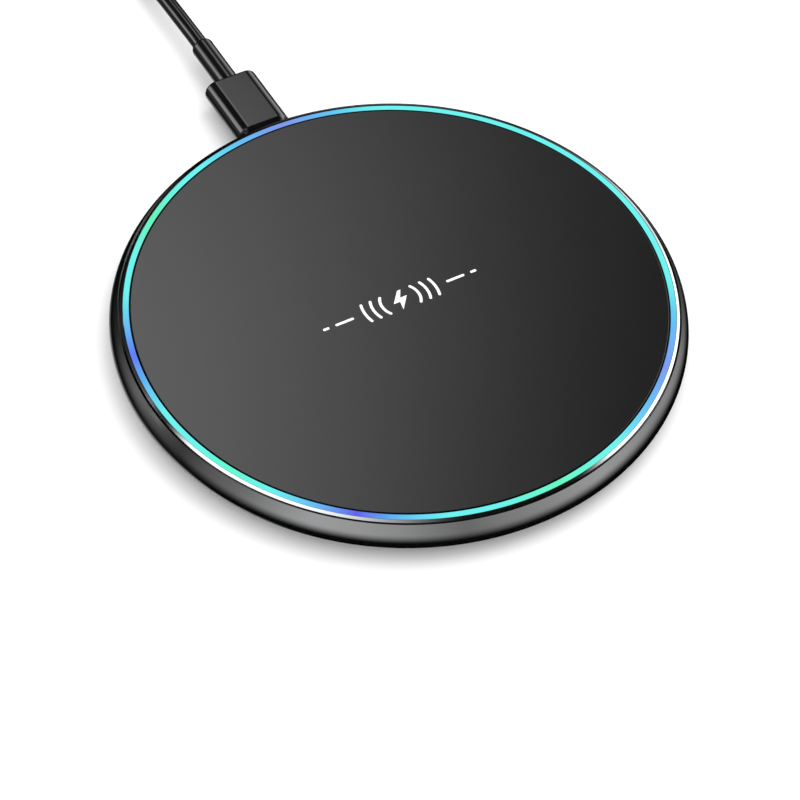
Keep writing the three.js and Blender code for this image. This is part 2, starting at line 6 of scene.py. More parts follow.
import bmesh
import bpy
from mathutils import Matrix, Quaternion, Vector
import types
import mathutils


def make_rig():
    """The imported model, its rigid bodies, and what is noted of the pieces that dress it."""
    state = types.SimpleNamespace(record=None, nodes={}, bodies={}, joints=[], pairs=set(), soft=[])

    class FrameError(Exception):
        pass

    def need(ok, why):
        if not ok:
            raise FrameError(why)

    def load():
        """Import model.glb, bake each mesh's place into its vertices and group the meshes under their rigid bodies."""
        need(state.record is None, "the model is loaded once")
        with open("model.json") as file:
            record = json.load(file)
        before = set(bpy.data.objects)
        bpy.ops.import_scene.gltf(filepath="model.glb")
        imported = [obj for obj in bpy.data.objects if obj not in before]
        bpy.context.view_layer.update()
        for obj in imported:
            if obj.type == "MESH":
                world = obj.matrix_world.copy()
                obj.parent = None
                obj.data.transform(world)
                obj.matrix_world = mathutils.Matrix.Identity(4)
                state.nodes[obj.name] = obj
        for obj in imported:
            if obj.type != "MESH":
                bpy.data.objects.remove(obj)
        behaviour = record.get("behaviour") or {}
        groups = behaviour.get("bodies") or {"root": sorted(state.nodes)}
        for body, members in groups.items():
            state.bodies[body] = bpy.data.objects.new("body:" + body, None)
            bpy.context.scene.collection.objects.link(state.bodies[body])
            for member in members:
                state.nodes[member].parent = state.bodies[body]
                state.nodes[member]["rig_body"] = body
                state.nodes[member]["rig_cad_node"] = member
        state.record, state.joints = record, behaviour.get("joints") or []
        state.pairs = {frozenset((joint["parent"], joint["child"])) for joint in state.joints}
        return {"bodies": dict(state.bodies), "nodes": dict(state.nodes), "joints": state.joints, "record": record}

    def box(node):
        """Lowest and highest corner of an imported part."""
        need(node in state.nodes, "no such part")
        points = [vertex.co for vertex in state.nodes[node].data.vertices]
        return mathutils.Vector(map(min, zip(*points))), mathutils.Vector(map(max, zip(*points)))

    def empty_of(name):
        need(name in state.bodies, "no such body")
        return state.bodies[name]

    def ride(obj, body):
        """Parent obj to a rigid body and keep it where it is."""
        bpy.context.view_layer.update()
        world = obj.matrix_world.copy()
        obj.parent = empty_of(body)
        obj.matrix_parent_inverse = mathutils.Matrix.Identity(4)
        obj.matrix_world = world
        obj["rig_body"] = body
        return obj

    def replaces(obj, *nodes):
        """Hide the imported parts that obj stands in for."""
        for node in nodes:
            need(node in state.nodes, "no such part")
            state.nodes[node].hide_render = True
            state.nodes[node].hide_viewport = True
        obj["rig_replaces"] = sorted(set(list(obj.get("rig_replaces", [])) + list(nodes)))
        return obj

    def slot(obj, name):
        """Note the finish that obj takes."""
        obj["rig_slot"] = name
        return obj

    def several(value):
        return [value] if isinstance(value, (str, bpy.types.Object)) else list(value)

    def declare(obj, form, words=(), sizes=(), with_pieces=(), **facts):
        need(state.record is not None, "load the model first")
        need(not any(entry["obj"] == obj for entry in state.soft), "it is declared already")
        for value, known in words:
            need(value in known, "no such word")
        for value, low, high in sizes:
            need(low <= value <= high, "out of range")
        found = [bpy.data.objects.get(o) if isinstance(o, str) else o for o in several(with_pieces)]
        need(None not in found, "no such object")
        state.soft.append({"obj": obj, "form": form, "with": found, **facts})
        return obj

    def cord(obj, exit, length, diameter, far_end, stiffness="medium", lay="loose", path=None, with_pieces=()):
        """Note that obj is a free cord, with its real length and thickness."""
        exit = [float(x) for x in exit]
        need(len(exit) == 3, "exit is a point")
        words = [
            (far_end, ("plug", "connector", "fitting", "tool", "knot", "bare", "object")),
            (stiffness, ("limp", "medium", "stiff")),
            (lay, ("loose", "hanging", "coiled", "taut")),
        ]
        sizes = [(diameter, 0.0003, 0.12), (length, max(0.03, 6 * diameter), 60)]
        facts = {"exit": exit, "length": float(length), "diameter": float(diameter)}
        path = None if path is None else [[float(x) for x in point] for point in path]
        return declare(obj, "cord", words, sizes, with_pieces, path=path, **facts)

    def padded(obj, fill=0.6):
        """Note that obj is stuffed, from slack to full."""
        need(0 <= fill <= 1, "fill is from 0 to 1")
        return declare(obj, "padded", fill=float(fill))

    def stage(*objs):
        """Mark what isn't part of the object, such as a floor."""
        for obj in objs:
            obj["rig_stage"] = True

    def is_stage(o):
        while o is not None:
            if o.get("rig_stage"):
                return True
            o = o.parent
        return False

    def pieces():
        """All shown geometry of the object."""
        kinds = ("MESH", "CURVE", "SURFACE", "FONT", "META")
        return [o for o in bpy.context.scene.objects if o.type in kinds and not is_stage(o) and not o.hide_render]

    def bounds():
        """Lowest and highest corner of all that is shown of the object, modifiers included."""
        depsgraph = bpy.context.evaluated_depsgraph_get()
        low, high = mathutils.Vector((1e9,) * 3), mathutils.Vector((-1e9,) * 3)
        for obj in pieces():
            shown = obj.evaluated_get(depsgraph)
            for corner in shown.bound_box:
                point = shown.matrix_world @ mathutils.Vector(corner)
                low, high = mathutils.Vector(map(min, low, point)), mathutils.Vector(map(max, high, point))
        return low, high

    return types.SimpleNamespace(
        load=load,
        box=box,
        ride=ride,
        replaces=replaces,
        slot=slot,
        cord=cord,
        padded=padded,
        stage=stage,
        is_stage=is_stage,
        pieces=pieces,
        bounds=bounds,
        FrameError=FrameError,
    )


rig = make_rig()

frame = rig.load()
CAD_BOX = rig.bounds()

MM = 0.001
PAD = "pad"
CABLE = "cable"
SIZE_FILE = "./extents.json"

# Camera: it looks at the middle of the top plate from in front and to the left.
CAMERA_AZIMUTH = -31.5
CAMERA_ELEVATION = 48.072
CAMERA_DISTANCE = 503.66 * MM
CAMERA_ROLL = 3.027
CAMERA_LENS = 130.76
AIM_X = -11.138 * MM
AIM_Y = -19.682 * MM

# Sides of a turned piece: of one as wide as the pad, of a middling one, and of a small one.
WIDE_SIDES = 256
MIDDLE_SIDES = 96
SMALL_SIDES = 48


class Box:
    """The box round a CAD node, in millimetres."""

    def __init__(self, node):
        low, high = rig.box(node)
        self.low = low / MM
        self.high = high / MM
        self.size = self.high - self.low
        self.centre = (self.low + self.high) / 2


TOP_HEIGHT = Box("frame_ring").high.z
PORT_HEIGHT = Box("usb_socket_shell").centre.z
BOARD_TOP = Box("main_board").high.z


# ---- outlines and parts
# A part is a pair: its points, in millimetres, and its faces. A piece is made of one or more parts.

# A profile's point this near to the axis is on it.
ON_AXIS = 1e-4


def on_circle(radius, degrees):
    angle = math.radians(degrees)
    return radius * math.cos(angle), radius * math.sin(angle)


def eased(corners, steps=4, closed=True):
    """An outline with bent corners. A corner is (x, y, how far before and after it the bend reaches)."""
    outline = []
    count = len(corners)
    for i, (x, y, reach) in enumerate(corners):
        corner = Vector((x, y))
        if reach == 0 or (not closed and i in (0, count - 1)):
            outline.append(corner)
            continue
        ends = []
        for j in (i - 1, (i + 1) % count):
            side = Vector(corners[j][:2]) - corner
            ends.append(corner + side.normalized() * min(reach, side.length / 2))
        for step in range(steps + 1):
            t = step / steps
            outline.append(ends[0] * (1 - t) ** 2 + corner * 2 * t * (1 - t) + ends[1] * t ** 2)
    return outline


def rounded_rectangle(width, height, radius, steps=5):
    """An outline round the origin, from the right side on, anticlockwise."""
    outline = []
    for quarter in range(4):
        sign_x = 1 if quarter in (0, 3) else -1
        sign_y = 1 if quarter in (0, 1) else -1
        centre_x = sign_x * (width / 2 - radius)
        centre_y = sign_y * (height / 2 - radius)
        for step in range(steps + 1):
            x, y = on_circle(radius, 90 * (quarter + step / steps))
            outline.append((centre_x + x, centre_y + y))
    return outline


def stadium(width, height, steps=10):
    return rounded_rectangle(width, height, height / 2 * 0.998, steps)


def turned(profile, sides=WIDE_SIDES, closed=False):
    """A part turned about Z. The profile closes on itself, or starts and ends on the axis."""
    points = []
    rows = []
    for radius, height in profile:
        start = len(points)
        if radius < ON_AXIS:
            rows.append([start] * sides)
            points.append((0, 0, height))
        else:
            rows.append(list(range(start, start + sides)))
            points += [(*on_circle(radius, 360 * i / sides), height) for i in range(sides)]
    pairs = list(zip(rows, rows[1:]))
    if closed:
        pairs.append((rows[-1], rows[0]))
    return points, join_rows(pairs)


def cylinder(radius, bottom, top):
    return turned([(0, bottom), (radius, bottom), (radius, top), (0, top)], SMALL_SIDES)


def join_rows(pairs):
    """Faces between rows of point numbers that run all the way round."""
    faces = []
    for first, second in pairs:
        for i in range(len(first)):
            j = (i + 1) % len(first)
            face = list(dict.fromkeys([first[i], first[j], second[j], second[i]]))
            if len(face) > 2:
                faces.append(face)
    return faces


def lofted(rings, closed=False):
    """A part through rings of points that are alike: closed into a loop, or with a cap at both ends."""
    count = len(rings[0])
    points = [tuple(point) for ring in rings for point in ring]
    rows = [list(range(i * count, (i + 1) * count)) for i in range(len(rings))]
    pairs = list(zip(rows, rows[1:]))
    if closed:
        return points, join_rows(pairs + [(rows[-1], rows[0])])
    return points, join_rows(pairs) + [rows[0], rows[-1]]


def bar(section, stations):
    """A part along Y. section(inset) gives its outline in X and Z, and a station is (y, inset)."""
    return lofted([[(x, y, z) for x, z in section(inset)] for y, inset in stations])


def standing(section, stations):
    """A part along Z. section(inset) gives its outline in X and Y, and a station is (z, inset)."""
    return lofted([[(x, y, z) for x, y in section(inset)] for z, inset in stations])


def stadium_section(width, height, steps=10):
    """The section of a bar: a stadium that shrinks by the inset."""
    return lambda inset: stadium(width - 2 * inset, height - 2 * inset, steps)


def rectangle_section(width, height, radius, pull=1, steps=5):
    """The section of a bar: a rectangle that shrinks by the inset, with its corner radius."""
    def section(inset):
        return rounded_rectangle(width - 2 * inset, height - 2 * inset, radius - pull * inset, steps)

    return section


def hollow_bar(outer, inner, front, back, edge):
    """A tube along Y, with its edges rounded off by edge."""
    route = [
        (outer, front, edge),
        (outer, front + edge, 0),
        (outer, back - edge, 0),
        (outer, back, edge),
        (inner, back, -edge),
        (inner, back - edge, 0),
        (inner, front + edge, 0),
        (inner, front, -edge),
    ]
    return lofted([[(x, y, z) for x, z in section(inset)] for section, y, inset in route], closed=True)


def soft_box(width, depth, bottom, top, edge, corner=None):
    """A block standing on bottom, with its edges rounded off by edge."""
    radius = edge if corner is None else corner

    def section(inset):
        return rounded_rectangle(width - 2 * inset, depth - 2 * inset, max(radius - inset, edge / 9), 3)

    return standing(section, rounded_stations(bottom, top, edge))


def rounded_stations(start, end, edge, steps=3):
    """Stations of a bar whose two ends are rounded off by edge."""
    bend = []
    for i in range(steps + 1):
        angle = math.pi / 2 * i / steps
        bend.append((edge * (1 - math.cos(angle)), edge * (1 - math.sin(angle))))
    first = [(start + along, inset) for along, inset in bend]
    return first + [(end - along, inset) for along, inset in reversed(bend)]


def moved(part, matrix):
    points, faces = part
    return [tuple(matrix @ Vector(point)) for point in points], faces


def shifted(part, x=0, y=0, z=0):
    return moved(part, Matrix.Translation((x, y, z)))


def spun(part, degrees):
    return moved(part, Matrix.Rotation(math.radians(degrees), 4, "Z"))


def tipped(part, degrees):
    return moved(part, Matrix.Rotation(math.radians(degrees), 4, "X"))


def at_port(part):
    """A part made round the port's axis, moved to it."""
    return shifted(part, z=PORT_HEIGHT)


def swept(route, radius, sides=12, lobes=0, lay=1.0, depth=0.0):
    """A round part along a route. With lobes, it is a bundle of strands that twist once in each lay."""
    rings = []
    side = Vector((0, 0, 1)).cross(route[1] - route[0]).normalized()
    along = 0
    for i, point in enumerate(route):
        before = route[max(i - 1, 0)]
        after = route[min(i + 1, len(route) - 1)]
        forward = (after - before).normalized()
        side = (side - forward * side.dot(forward)).normalized()
        up = forward.cross(side)
        along += (point - before).length
        ring = []
        for j in range(sides):
            angle = math.tau * j / sides
            wave = math.cos(lobes * (angle - math.tau * along / lay)) if lobes else 0
            reach = radius * (1 - depth + depth * wave)
            ring.append(point + (side * math.cos(angle) + up * math.sin(angle)) * reach)
        rings.append(ring)
    return lofted(rings)


def smooth_route(points, step):
    """Points about a step apart on the smooth curve through these ones."""
    knots = [Vector(point) for point in points]
    knots = [2 * knots[0] - knots[1], *knots, 2 * knots[-1] - knots[-2]]
    route = []
    for a, b, c, d in zip(knots, knots[1:], knots[2:], knots[3:]):
        count = max(1, round((c - b).length / step))
        for i in range(count):
            t = i / count
            bend = (2 * a - 5 * b + 4 * c - d) * t ** 2 + (3 * b - a - 3 * c + d) * t ** 3
            route.append((2 * b + (c - a) * t + bend) / 2)
    return route + [knots[-2]]


# ---- pieces

made_pieces = []


def new_object(name, data):
    """An object in the scene that shows this mesh or curve, or is this camera or light."""
    made = bpy.data.objects.new(name, data)
    bpy.context.scene.collection.objects.link(made)
    return made


def new_mesh(name, points, faces):
    """A mesh from points in millimetres."""
    mesh = bpy.data.meshes.new(name)
    mesh.from_pydata([[value * MM for value in point] for point in points], [], faces)
    return mesh


def make(name, body, slot, parts, materials, nodes=(), sharp=40):
    """A piece from (part, number of its material) pairs, riding on a body and standing for CAD nodes."""
    points = []
    faces = []
    kinds = []
    for (part_points, part_faces), kind in parts:
        start = len(points)
        points += part_points
        faces += [[start + i for i in face] for face in part_faces]
        kinds += [kind] * len(part_faces)
    mesh = new_mesh(name, points, faces)
    for polygon, kind in zip(mesh.polygons, kinds):
        polygon.material_index = kind
    for material in materials:
        mesh.materials.append(material)
    piece = new_object(name, mesh)
    tidy_mesh(mesh, sharp)
    made_pieces.append(piece)
    return settle(piece, body, slot, nodes)


def make_one(name, body, slot, part, material, node, sharp=40):
    """A piece of one part and one material, standing for one CAD node."""
    return make(name, body, slot, [(part, 0)], [material], [node], sharp)


def settle(piece, body, slot, nodes=()):
    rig.ride(piece, body)
    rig.slot(piece, slot)
    if nodes:
        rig.replaces(piece, *nodes)
    return piece


def tidy_mesh(mesh, sharp):
    """Faces turned outwards, and smooth shading that stops at edges sharper than sharp degrees."""
    work = bmesh.new()
    work.from_mesh(mesh)
    bmesh.ops.recalc_face_normals(work, faces=work.faces)
    work.to_mesh(mesh)
    work.free()
    shade(mesh, sharp)


def shade(mesh, sharp):
    mesh.shade_smooth()
    mesh.set_sharp_from_angle(angle=math.radians(sharp))


def carve(piece, operation, parts, sharp=40):
    """Joins parts to a piece with UNION, or cuts them out of it with DIFFERENCE."""
    for number, (points, faces) in enumerate(parts):
        tool_mesh = new_mesh(f"tool_{number}", points, faces)
        tidy_mesh(tool_mesh, sharp)
        tool = new_object(f"tool_{number}", tool_mesh)
        modifier = piece.modifiers.new("carve", "BOOLEAN")
        modifier.operation = operation
        modifier.solver = "EXACT"
        modifier.object = tool
        graph = bpy.context.evaluated_depsgraph_get()
        result = bpy.data.meshes.new_from_object(piece.evaluated_get(graph))
        piece.modifiers.clear()
        old = piece.data
        piece.data = result
        bpy.data.meshes.remove(old)
        bpy.data.objects.remove(tool)
        bpy.data.meshes.remove(tool_mesh)
    shade(piece.data, sharp)
    return piece


def even_shading():
    """Keeps flat faces flat in their shading, next to the rounded edges round them."""
    for piece in made_pieces:
        modifier = piece.modifiers.new("even_shading", "WEIGHTED_NORMAL")
        modifier.keep_sharp = True


# ---- node helpers


def add_node(tree, kind, inputs=None, **settings):
    """A node whose inputs are linked to a socket, or given a value."""
    made = tree.nodes.new("ShaderNode" + kind)
    for name, value in settings.items():
        setattr(made, name, value)
    for name, value in (inputs or {}).items():
        if isinstance(value, bpy.types.NodeSocket):
            tree.links.new(value, made.inputs[name])
        else:
            made.inputs[name].default_value = value
    return made


def maths(tree, operation, first, second=0.0, third=0.0):
    inputs = {0: first, 1: second, 2: third}
    return add_node(tree, "Math", inputs, operation=operation).outputs[0]


def fade(tree, value, start, end):
    """0 at start and 1 at end, smoothly in between."""
    inputs = {"Value": value, "From Min": start, "From Max": end}
    made = add_node(tree, "MapRange", inputs, interpolation_type="SMOOTHSTEP")
    return made.outputs["Result"]


def place(tree):
    """The point's place in the object, in metres."""
    return add_node(tree, "TexCoord").outputs["Object"]


def noise(tree, size, detail=2.0, where=None):
    """Cloudy noise from 0 to 1, with spots about that many millimetres across."""
    vector = place(tree) if where is None else where
    inputs = {"Vector": vector, "Scale": 0.5 / (size * MM), "Detail": detail}
    return add_node(tree, "TexNoise", inputs).outputs["Fac"]


def blend(tree, factor, first, second):
    """A colour between two linear colours."""
    made = add_node(tree, "Mix", {0: factor}, data_type="RGBA")
    for socket, colour in ((made.inputs[6], first), (made.inputs[7], second)):
        if isinstance(colour, bpy.types.NodeSocket):
            tree.links.new(colour, socket)
        else:
            socket.default_value = (*colour, 1)
    return made.outputs[2]


def spread(tree, value, lowest, highest):
    """Noise stretched to run from lowest to highest."""
    inputs = {"Value": value, "From Min": 0.3, "From Max": 0.7, "To Min": lowest, "To Max": highest}
    return add_node(tree, "MapRange", inputs).outputs["Result"]


def relief(tree, height, depth):
    """A bump whose deepest spots are that many millimetres deep."""
    inputs = {"Height": height, "Distance": depth * MM, "Strength": 1.0}
    return add_node(tree, "Bump", inputs).outputs["Normal"]


def empty_tree(owner):
    """The emptied node tree of a material or a world."""
    owner.use_nodes = True
    owner.node_tree.nodes.clear()
    return owner.node_tree


def grey(value, tint=(1, 1, 1)):
    return tuple(value * channel for channel in tint)


def as_colour(value):
    return value if isinstance(value, tuple) else grey(value)


def drift(tree, size, dark, light):
    """A colour that drifts between two, or two greys, in clouds of that many millimetres."""
    return blend(tree, spread(tree, noise(tree, size), 0, 1), as_colour(dark), as_colour(light))


def new_material(name, **values):
    """A material and its principled shader, with the values set on the shader's own sockets."""
    material = bpy.data.materials.new(name)
    tree = empty_tree(material)
    shader = add_node(tree, "BsdfPrincipled")
    add_node(tree, "OutputMaterial", {"Surface": shader.outputs[0]})
    for name_of_value, value in values.items():
        shader.inputs[name_of_value.replace("_", " ")].default_value = value
    return material, tree, shader


def feed(tree, shader, **sockets):
    for name, socket in sockets.items():
        tree.links.new(socket, shader.inputs[name.replace("_", " ")])


def grained(name, dark, light, rough, spot, depth, patch=None, **values):
    """A surface whose colour drifts, and whose texture is fine spots."""
    material, tree, shader = new_material(name, **values)
    colour = drift(tree, patch or spot * 8, dark, light)
    fine = noise(tree, spot, 3.0)
    roughness = spread(tree, fine, rough[0], rough[1])
    feed(tree, shader, Base_Color=colour, Roughness=roughness, Normal=relief(tree, fine, depth))
    return material


# ---- materials


def gunmetal():
    """Dark polished metal, with fine turning lines round the pad's axis."""
    material, tree, shader = new_material("dark_polished_metal", Metallic=1.0)
    where = add_node(tree, "SeparateXYZ", {0: place(tree)}).outputs
    squares = maths(tree, "ADD", maths(tree, "POWER", where[0], 2.0), maths(tree, "POWER", where[1], 2.0))
    radius = maths(tree, "SQRT", squares)
    line_place = add_node(tree, "CombineXYZ", {0: radius, 1: where[2]}).outputs[0]
    lines = noise(tree, 0.05, 2.0, line_place)
    colour = drift(tree, 6, grey(0.235, (0.99, 1, 1.02)), 0.262)
    roughness = spread(tree, lines, 0.085, 0.13)
    feed(tree, shader, Base_Color=colour, Roughness=roughness, Normal=relief(tree, lines, 0.00015))
    return material


# Glows in the lit ring: the angle at which each is strongest, its colour, how far it reaches, and the
# colour halfway to its ends, if that is a third one.
CYAN = (98, 243, 240)
SKY = (86, 188, 244)
GLOWS = [
    (88, (120, 143, 233), 22, SKY),
    (128, (91, 244, 181), 13, None),
    (168, (85, 112, 244), 17, SKY),
    (204, (87, 248, 209), 10, None),
    (232, (83, 78, 236), 18, SKY),
    (274, (89, 248, 192), 15, None),
    (314, (113, 150, 244), 24, SKY),
]


def linear(colour):
    """A linear colour from an sRGB one of 0 to 255."""
    return tuple(((c / 255 + 0.055) / 1.055) ** 2.4 if c > 10 else c / 3295 for c in colour)


FROST_SIZE = 1.5
RING_STRENGTH = 0.97


def lit_plastic():
    """Frosted plastic lit from below by coloured LEDs."""
    material, tree, shader = new_material("lit_frosted_plastic", Roughness=0.5, Specular_IOR_Level=0.15)
    where = add_node(tree, "SeparateXYZ", {0: place(tree)}).outputs
    dark_below = (TOP_HEIGHT - 0.12) * MM
    bright_above = (TOP_HEIGHT - 0.03) * MM
    strength = maths(tree, "MULTIPLY", fade(tree, where[2], dark_below, bright_above), RING_STRENGTH)
    turn = maths(tree, "DIVIDE", maths(tree, "ARCTAN2", where[1], where[0]), math.tau)
    ramp = add_node(tree, "ValToRGB", {0: maths(tree, "FRACT", maths(tree, "ADD", turn, 1.0))})
    stops = [(0, CYAN), (359.9, CYAN)]
    for angle, colour, reach, between in GLOWS:
        stops += [(angle - reach, CYAN), (angle, colour), (angle + reach, CYAN)]
        if between:
            stops += [(angle - reach / 2, between), (angle + reach / 2, between)]
    fill_ramp(ramp.color_ramp, stops)
    frost = blend(tree, spread(tree, noise(tree, FROST_SIZE), 0, 0.02), ramp.outputs[0], (1, 1, 1))
    body = drift(tree, FROST_SIZE, 0.008, 0.012)
    feed(tree, shader, Base_Color=body, Emission_Color=frost, Emission_Strength=strength)
    return material


def fill_ramp(ramp, stops):
    """Puts colours into a colour ramp, at angles in degrees."""
    stops = sorted(stops)
    while len(ramp.elements) < len(stops):
        ramp.elements.new(1.0)
    for element, (angle, colour) in zip(ramp.elements, stops):
        element.position = angle / 360
        element.color = (*linear(colour), 1)


def solder_mask():
    """Dark green lacquer over copper tracks, which show as slightly lighter lines."""
    material, tree, shader = new_material("board_solder_mask", Specular_IOR_Level=0.5)
    inputs = {"Vector": place(tree), "Scale": 1 / (2.4 * MM), "Randomness": 0.35}
    cells = add_node(tree, "TexVoronoi", inputs, feature="DISTANCE_TO_EDGE", distance="MANHATTAN")
    track = fade(tree, cells.outputs["Distance"], 0.10, 0.06)
    base = drift(tree, 5, (0.006, 0.05, 0.018), (0.008, 0.06, 0.022))
    colour = blend(tree, track, base, (0.016, 0.105, 0.04))
    roughness = spread(tree, noise(tree, 0.2), 0.28, 0.4)
    feed(tree, shader, Base_Color=colour, Roughness=roughness, Normal=relief(tree, track, 0.02))
    return material


def bare_metal(name, dark, light, rough, spot):
    """Plated or drawn metal with faint clouding and fine marks."""
    return grained(name, dark, light, rough, spot, 0.0008, patch=4, Metallic=1.0)


GUNMETAL = gunmetal()
PLATE_COATING = grained(
    "satin_black_coating", 0.0045, 0.0055, (0.14, 0.18), 0.08, 0.0006, patch=14, Specular_IOR_Level=0.35,
)
LIT_PLASTIC = lit_plastic()
MARK_INK = grained("white_print", 0.78, 0.86, (0.45, 0.6), 0.05, 0.002)
BASE_PLASTIC = grained("textured_black_plastic", 0.011, 0.015, (0.5, 0.65), 0.14, 0.012)
FOOT_RUBBER = grained("soft_black_rubber", 0.014, 0.02, (0.7, 0.85), 0.1, 0.01)
ADHESIVE = grained("clear_tape", grey(0.3, (1, 1, 0.95)), grey(0.36, (1, 1, 0.95)), (0.4, 0.6), 0.3, 0.006)
GLOSS_BLACK = grained(
    "gloss_black_plastic", 0.003, 0.004, (0.1, 0.14), 0.4, 0.0002, Specular_IOR_Level=0.35,
)
CABLE_JACKET = grained(
    "cable_jacket_vinyl", 0.003, 0.0045, (0.14, 0.19), 0.3, 0.0006, Specular_IOR_Level=0.35,
)
TIE_RUBBER = grained("tie_rubber", 0.012, 0.018, (0.55, 0.7), 0.12, 0.008)
STEEL = bare_metal("plated_steel", grey(0.55, (1, 1, 0.99)), 0.62, (0.18, 0.28), 0.1)
SCREW_METAL = bare_metal("zinc_plated_screw", grey(0.42, (0.98, 1, 1.03)), 0.5, (0.25, 0.38), 0.08)
GOLD = bare_metal("gold_contact", (0.78, 0.48, 0.16), (0.85, 0.56, 0.22), (0.15, 0.25), 0.1)
TIN = bare_metal("tinned_pad", 0.6, 0.7, (0.2, 0.35), 0.15)
COPPER = bare_metal("enamelled_copper", (0.44, 0.15, 0.055), (0.6, 0.23, 0.09), (0.25, 0.4), 0.1)
FERRITE = grained("sintered_ferrite", grey(0.03, (1, 1, 1.05)), 0.05, (0.5, 0.75), 0.15, 0.01)
FOAM = grained("open_cell_foam", 0.025, 0.07, (0.85, 0.95), 0.25, 0.12)
SOLDER_MASK = solder_mask()
CHIP_EPOXY = grained("chip_epoxy", 0.012, 0.018, (0.45, 0.6), 0.05, 0.004)
CERAMIC = grained("capacitor_ceramic", (0.24, 0.13, 0.06), (0.31, 0.18, 0.09), (0.4, 0.55), 0.1, 0.003)
LED_BODY = grained("led_white_moulding", 0.68, 0.78, (0.35, 0.5), 0.1, 0.002)
LED_GEL = grained("led_phosphor_gel", (0.75, 0.6, 0.14), (0.85, 0.7, 0.2), (0.15, 0.25), 0.1, 0.002)
CONTACT_BLACK = grained("contact_carrier", 0.01, 0.014, (0.35, 0.5), 0.1, 0.003)
CONTACT_WHITE = grained("white_contact_carrier", 0.6, 0.7, (0.35, 0.5), 0.1, 0.003)


# ---- camera


def make_camera():
    azimuth = math.radians(CAMERA_AZIMUTH)
    elevation = math.radians(CAMERA_ELEVATION)
    level = math.cos(elevation)
    back = Vector((math.sin(azimuth) * level, -math.cos(azimuth) * level, math.sin(elevation)))
    data = bpy.data.cameras.new("photo_camera")
    data.lens = CAMERA_LENS
    data.sensor_width = 36
    data.clip_start = 0.01
    data.clip_end = 20
    camera = new_object("photo_camera", data)
    camera.location = Vector((0, 0, TOP_HEIGHT * MM)) + back * CAMERA_DISTANCE
    aim = Vector((AIM_X, AIM_Y, TOP_HEIGHT * MM)) - camera.location
    camera.rotation_mode = "QUATERNION"
    roll = Quaternion((0, 0, 1), math.radians(CAMERA_ROLL))
    camera.rotation_quaternion = aim.to_track_quat("-Z", "Y") @ roll
    bpy.context.scene.camera = camera


# ---- cord
# The route's points are the ones that part.mjs gives for the cord's solids.

CORD_DIAMETER = 3
CORD_RUN = [
    (0, 76.2, 3.95),
    (0, 79, 3.95),
    (-0.05, 82, 3.95),
    (-0.1, 85, 3.94),
    (-0.15, 88, 3.92),
    (-0.2, 91, 3.85),
    (-0.28, 94, 3.68),
    (-0.36, 97, 3.38),
    (-0.43, 100, 3.02),
    (-0.48, 103, 2.68),
    (-0.5, 106, 2.42),
    (-0.5, 108.4, 2.32),
    (-0.5, 113, 2.3),
]
CORD_TAIL = [
    (26, 140.5, 8.25),
    (28, 140.48, 7.9),
    (29.8, 140.46, 7.35),
    (31.6, 140.45, 6.6),
    (34, 140.5, 5.6),
    (37.5, 140.1, 4.3),
    (41, 138.7, 3.2),
    (44.5, 136.2, 2.5),
    (47.2, 133, 2.4),
    (49.1, 130, 3),
    (49.95, 127.6, 3.65),
    (50, 125.5, 3.8),
]
# Each turn's place in the coil's section: its column from the inside, and its layer from the bottom.
COIL_SLOTS = [(2, 0), (1, 0), (0, 0), (0, 1), (0, 2), (1, 2), (1, 1), (2, 1), (2, 2)]
# Angles, in degrees: the last part turn, the step between points, and where and how long a turn moves over.
LAST_TURN = 90
COIL_STEP = 15
SHIFT_TURN = 50
SHIFT_LEAD = 25


def coil_route():
    """The stored turns. Each one moves to the next place before the turn that follows it does."""
    box = Box("cord_coil")
    mean = box.size.x / 2 - 1.5 * CORD_DIAMETER
    points = []
    for step in range(round((360 * (len(COIL_SLOTS) - 1) + LAST_TURN) / COIL_STEP) + 1):
        swept_angle = step * COIL_STEP
        turn, angle = divmod(swept_angle, 360)
        column, layer = COIL_SLOTS[turn]
        if turn + 1 < len(COIL_SLOTS):
            share = (angle - (360 - SHIFT_LEAD * turn - SHIFT_TURN)) / SHIFT_TURN
            share = min(max(share, 0), 1)
            share = share * share * (3 - 2 * share)
            next_column, next_layer = COIL_SLOTS[turn + 1]
            column += (next_column - column) * share
            layer += (next_layer - layer) * share
        x, y = on_circle(mean + (column - 1) * CORD_DIAMETER, 180 - swept_angle)
        z = box.low.z + CORD_DIAMETER * (layer + 0.5)
        points.append((box.centre.x + x, box.centre.y + y, z))
    return points


def make_cord():
    route = CORD_RUN + coil_route() + CORD_TAIL
    data = bpy.data.curves.new("usb_cable", "CURVE")
    data.dimensions = "3D"
    data.bevel_depth = CORD_DIAMETER / 2 * MM
    data.bevel_resolution = 6
    data.resolution_u = 5
    data.use_fill_caps = True
    spline = data.splines.new("BEZIER")
    spline.bezier_points.add(len(route) - 1)
    for knot, point in zip(spline.bezier_points, route):
        knot.co = Vector(point) * MM
        knot.handle_left_type = "AUTO"
        knot.handle_right_type = "AUTO"
    data.materials.append(CABLE_JACKET)
    cord = new_object("usb_cable", data)
    return settle(cord, CABLE, "cable_jacket", ["cord_run", "cord_coil", "cord_tail"])


def declare_cord(cord, on_it):
    relief_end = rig.box("usb_c_strain_relief")[1].y
    port_low, port_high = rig.box("usb_socket_shell")
    port_height = ((port_low + port_high) / 2).z
    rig.cord(
        cord,
        exit=(0, relief_end, port_height),
        length=0.99,
        diameter=CORD_DIAMETER * MM,
        far_end="plug",
        stiffness="medium",
        lay="coiled",
        with_pieces=on_it,
    )


# ---- housing

SCREW_CIRCLE = 41.5
SCREW_ANGLES = [45, 135, 225, 315]
SCREW_PLACES = [on_circle(SCREW_CIRCLE, degrees) for degrees in SCREW_ANGLES]
LUG_PLACE = 43.5
MARK_THICKNESS = 0.02


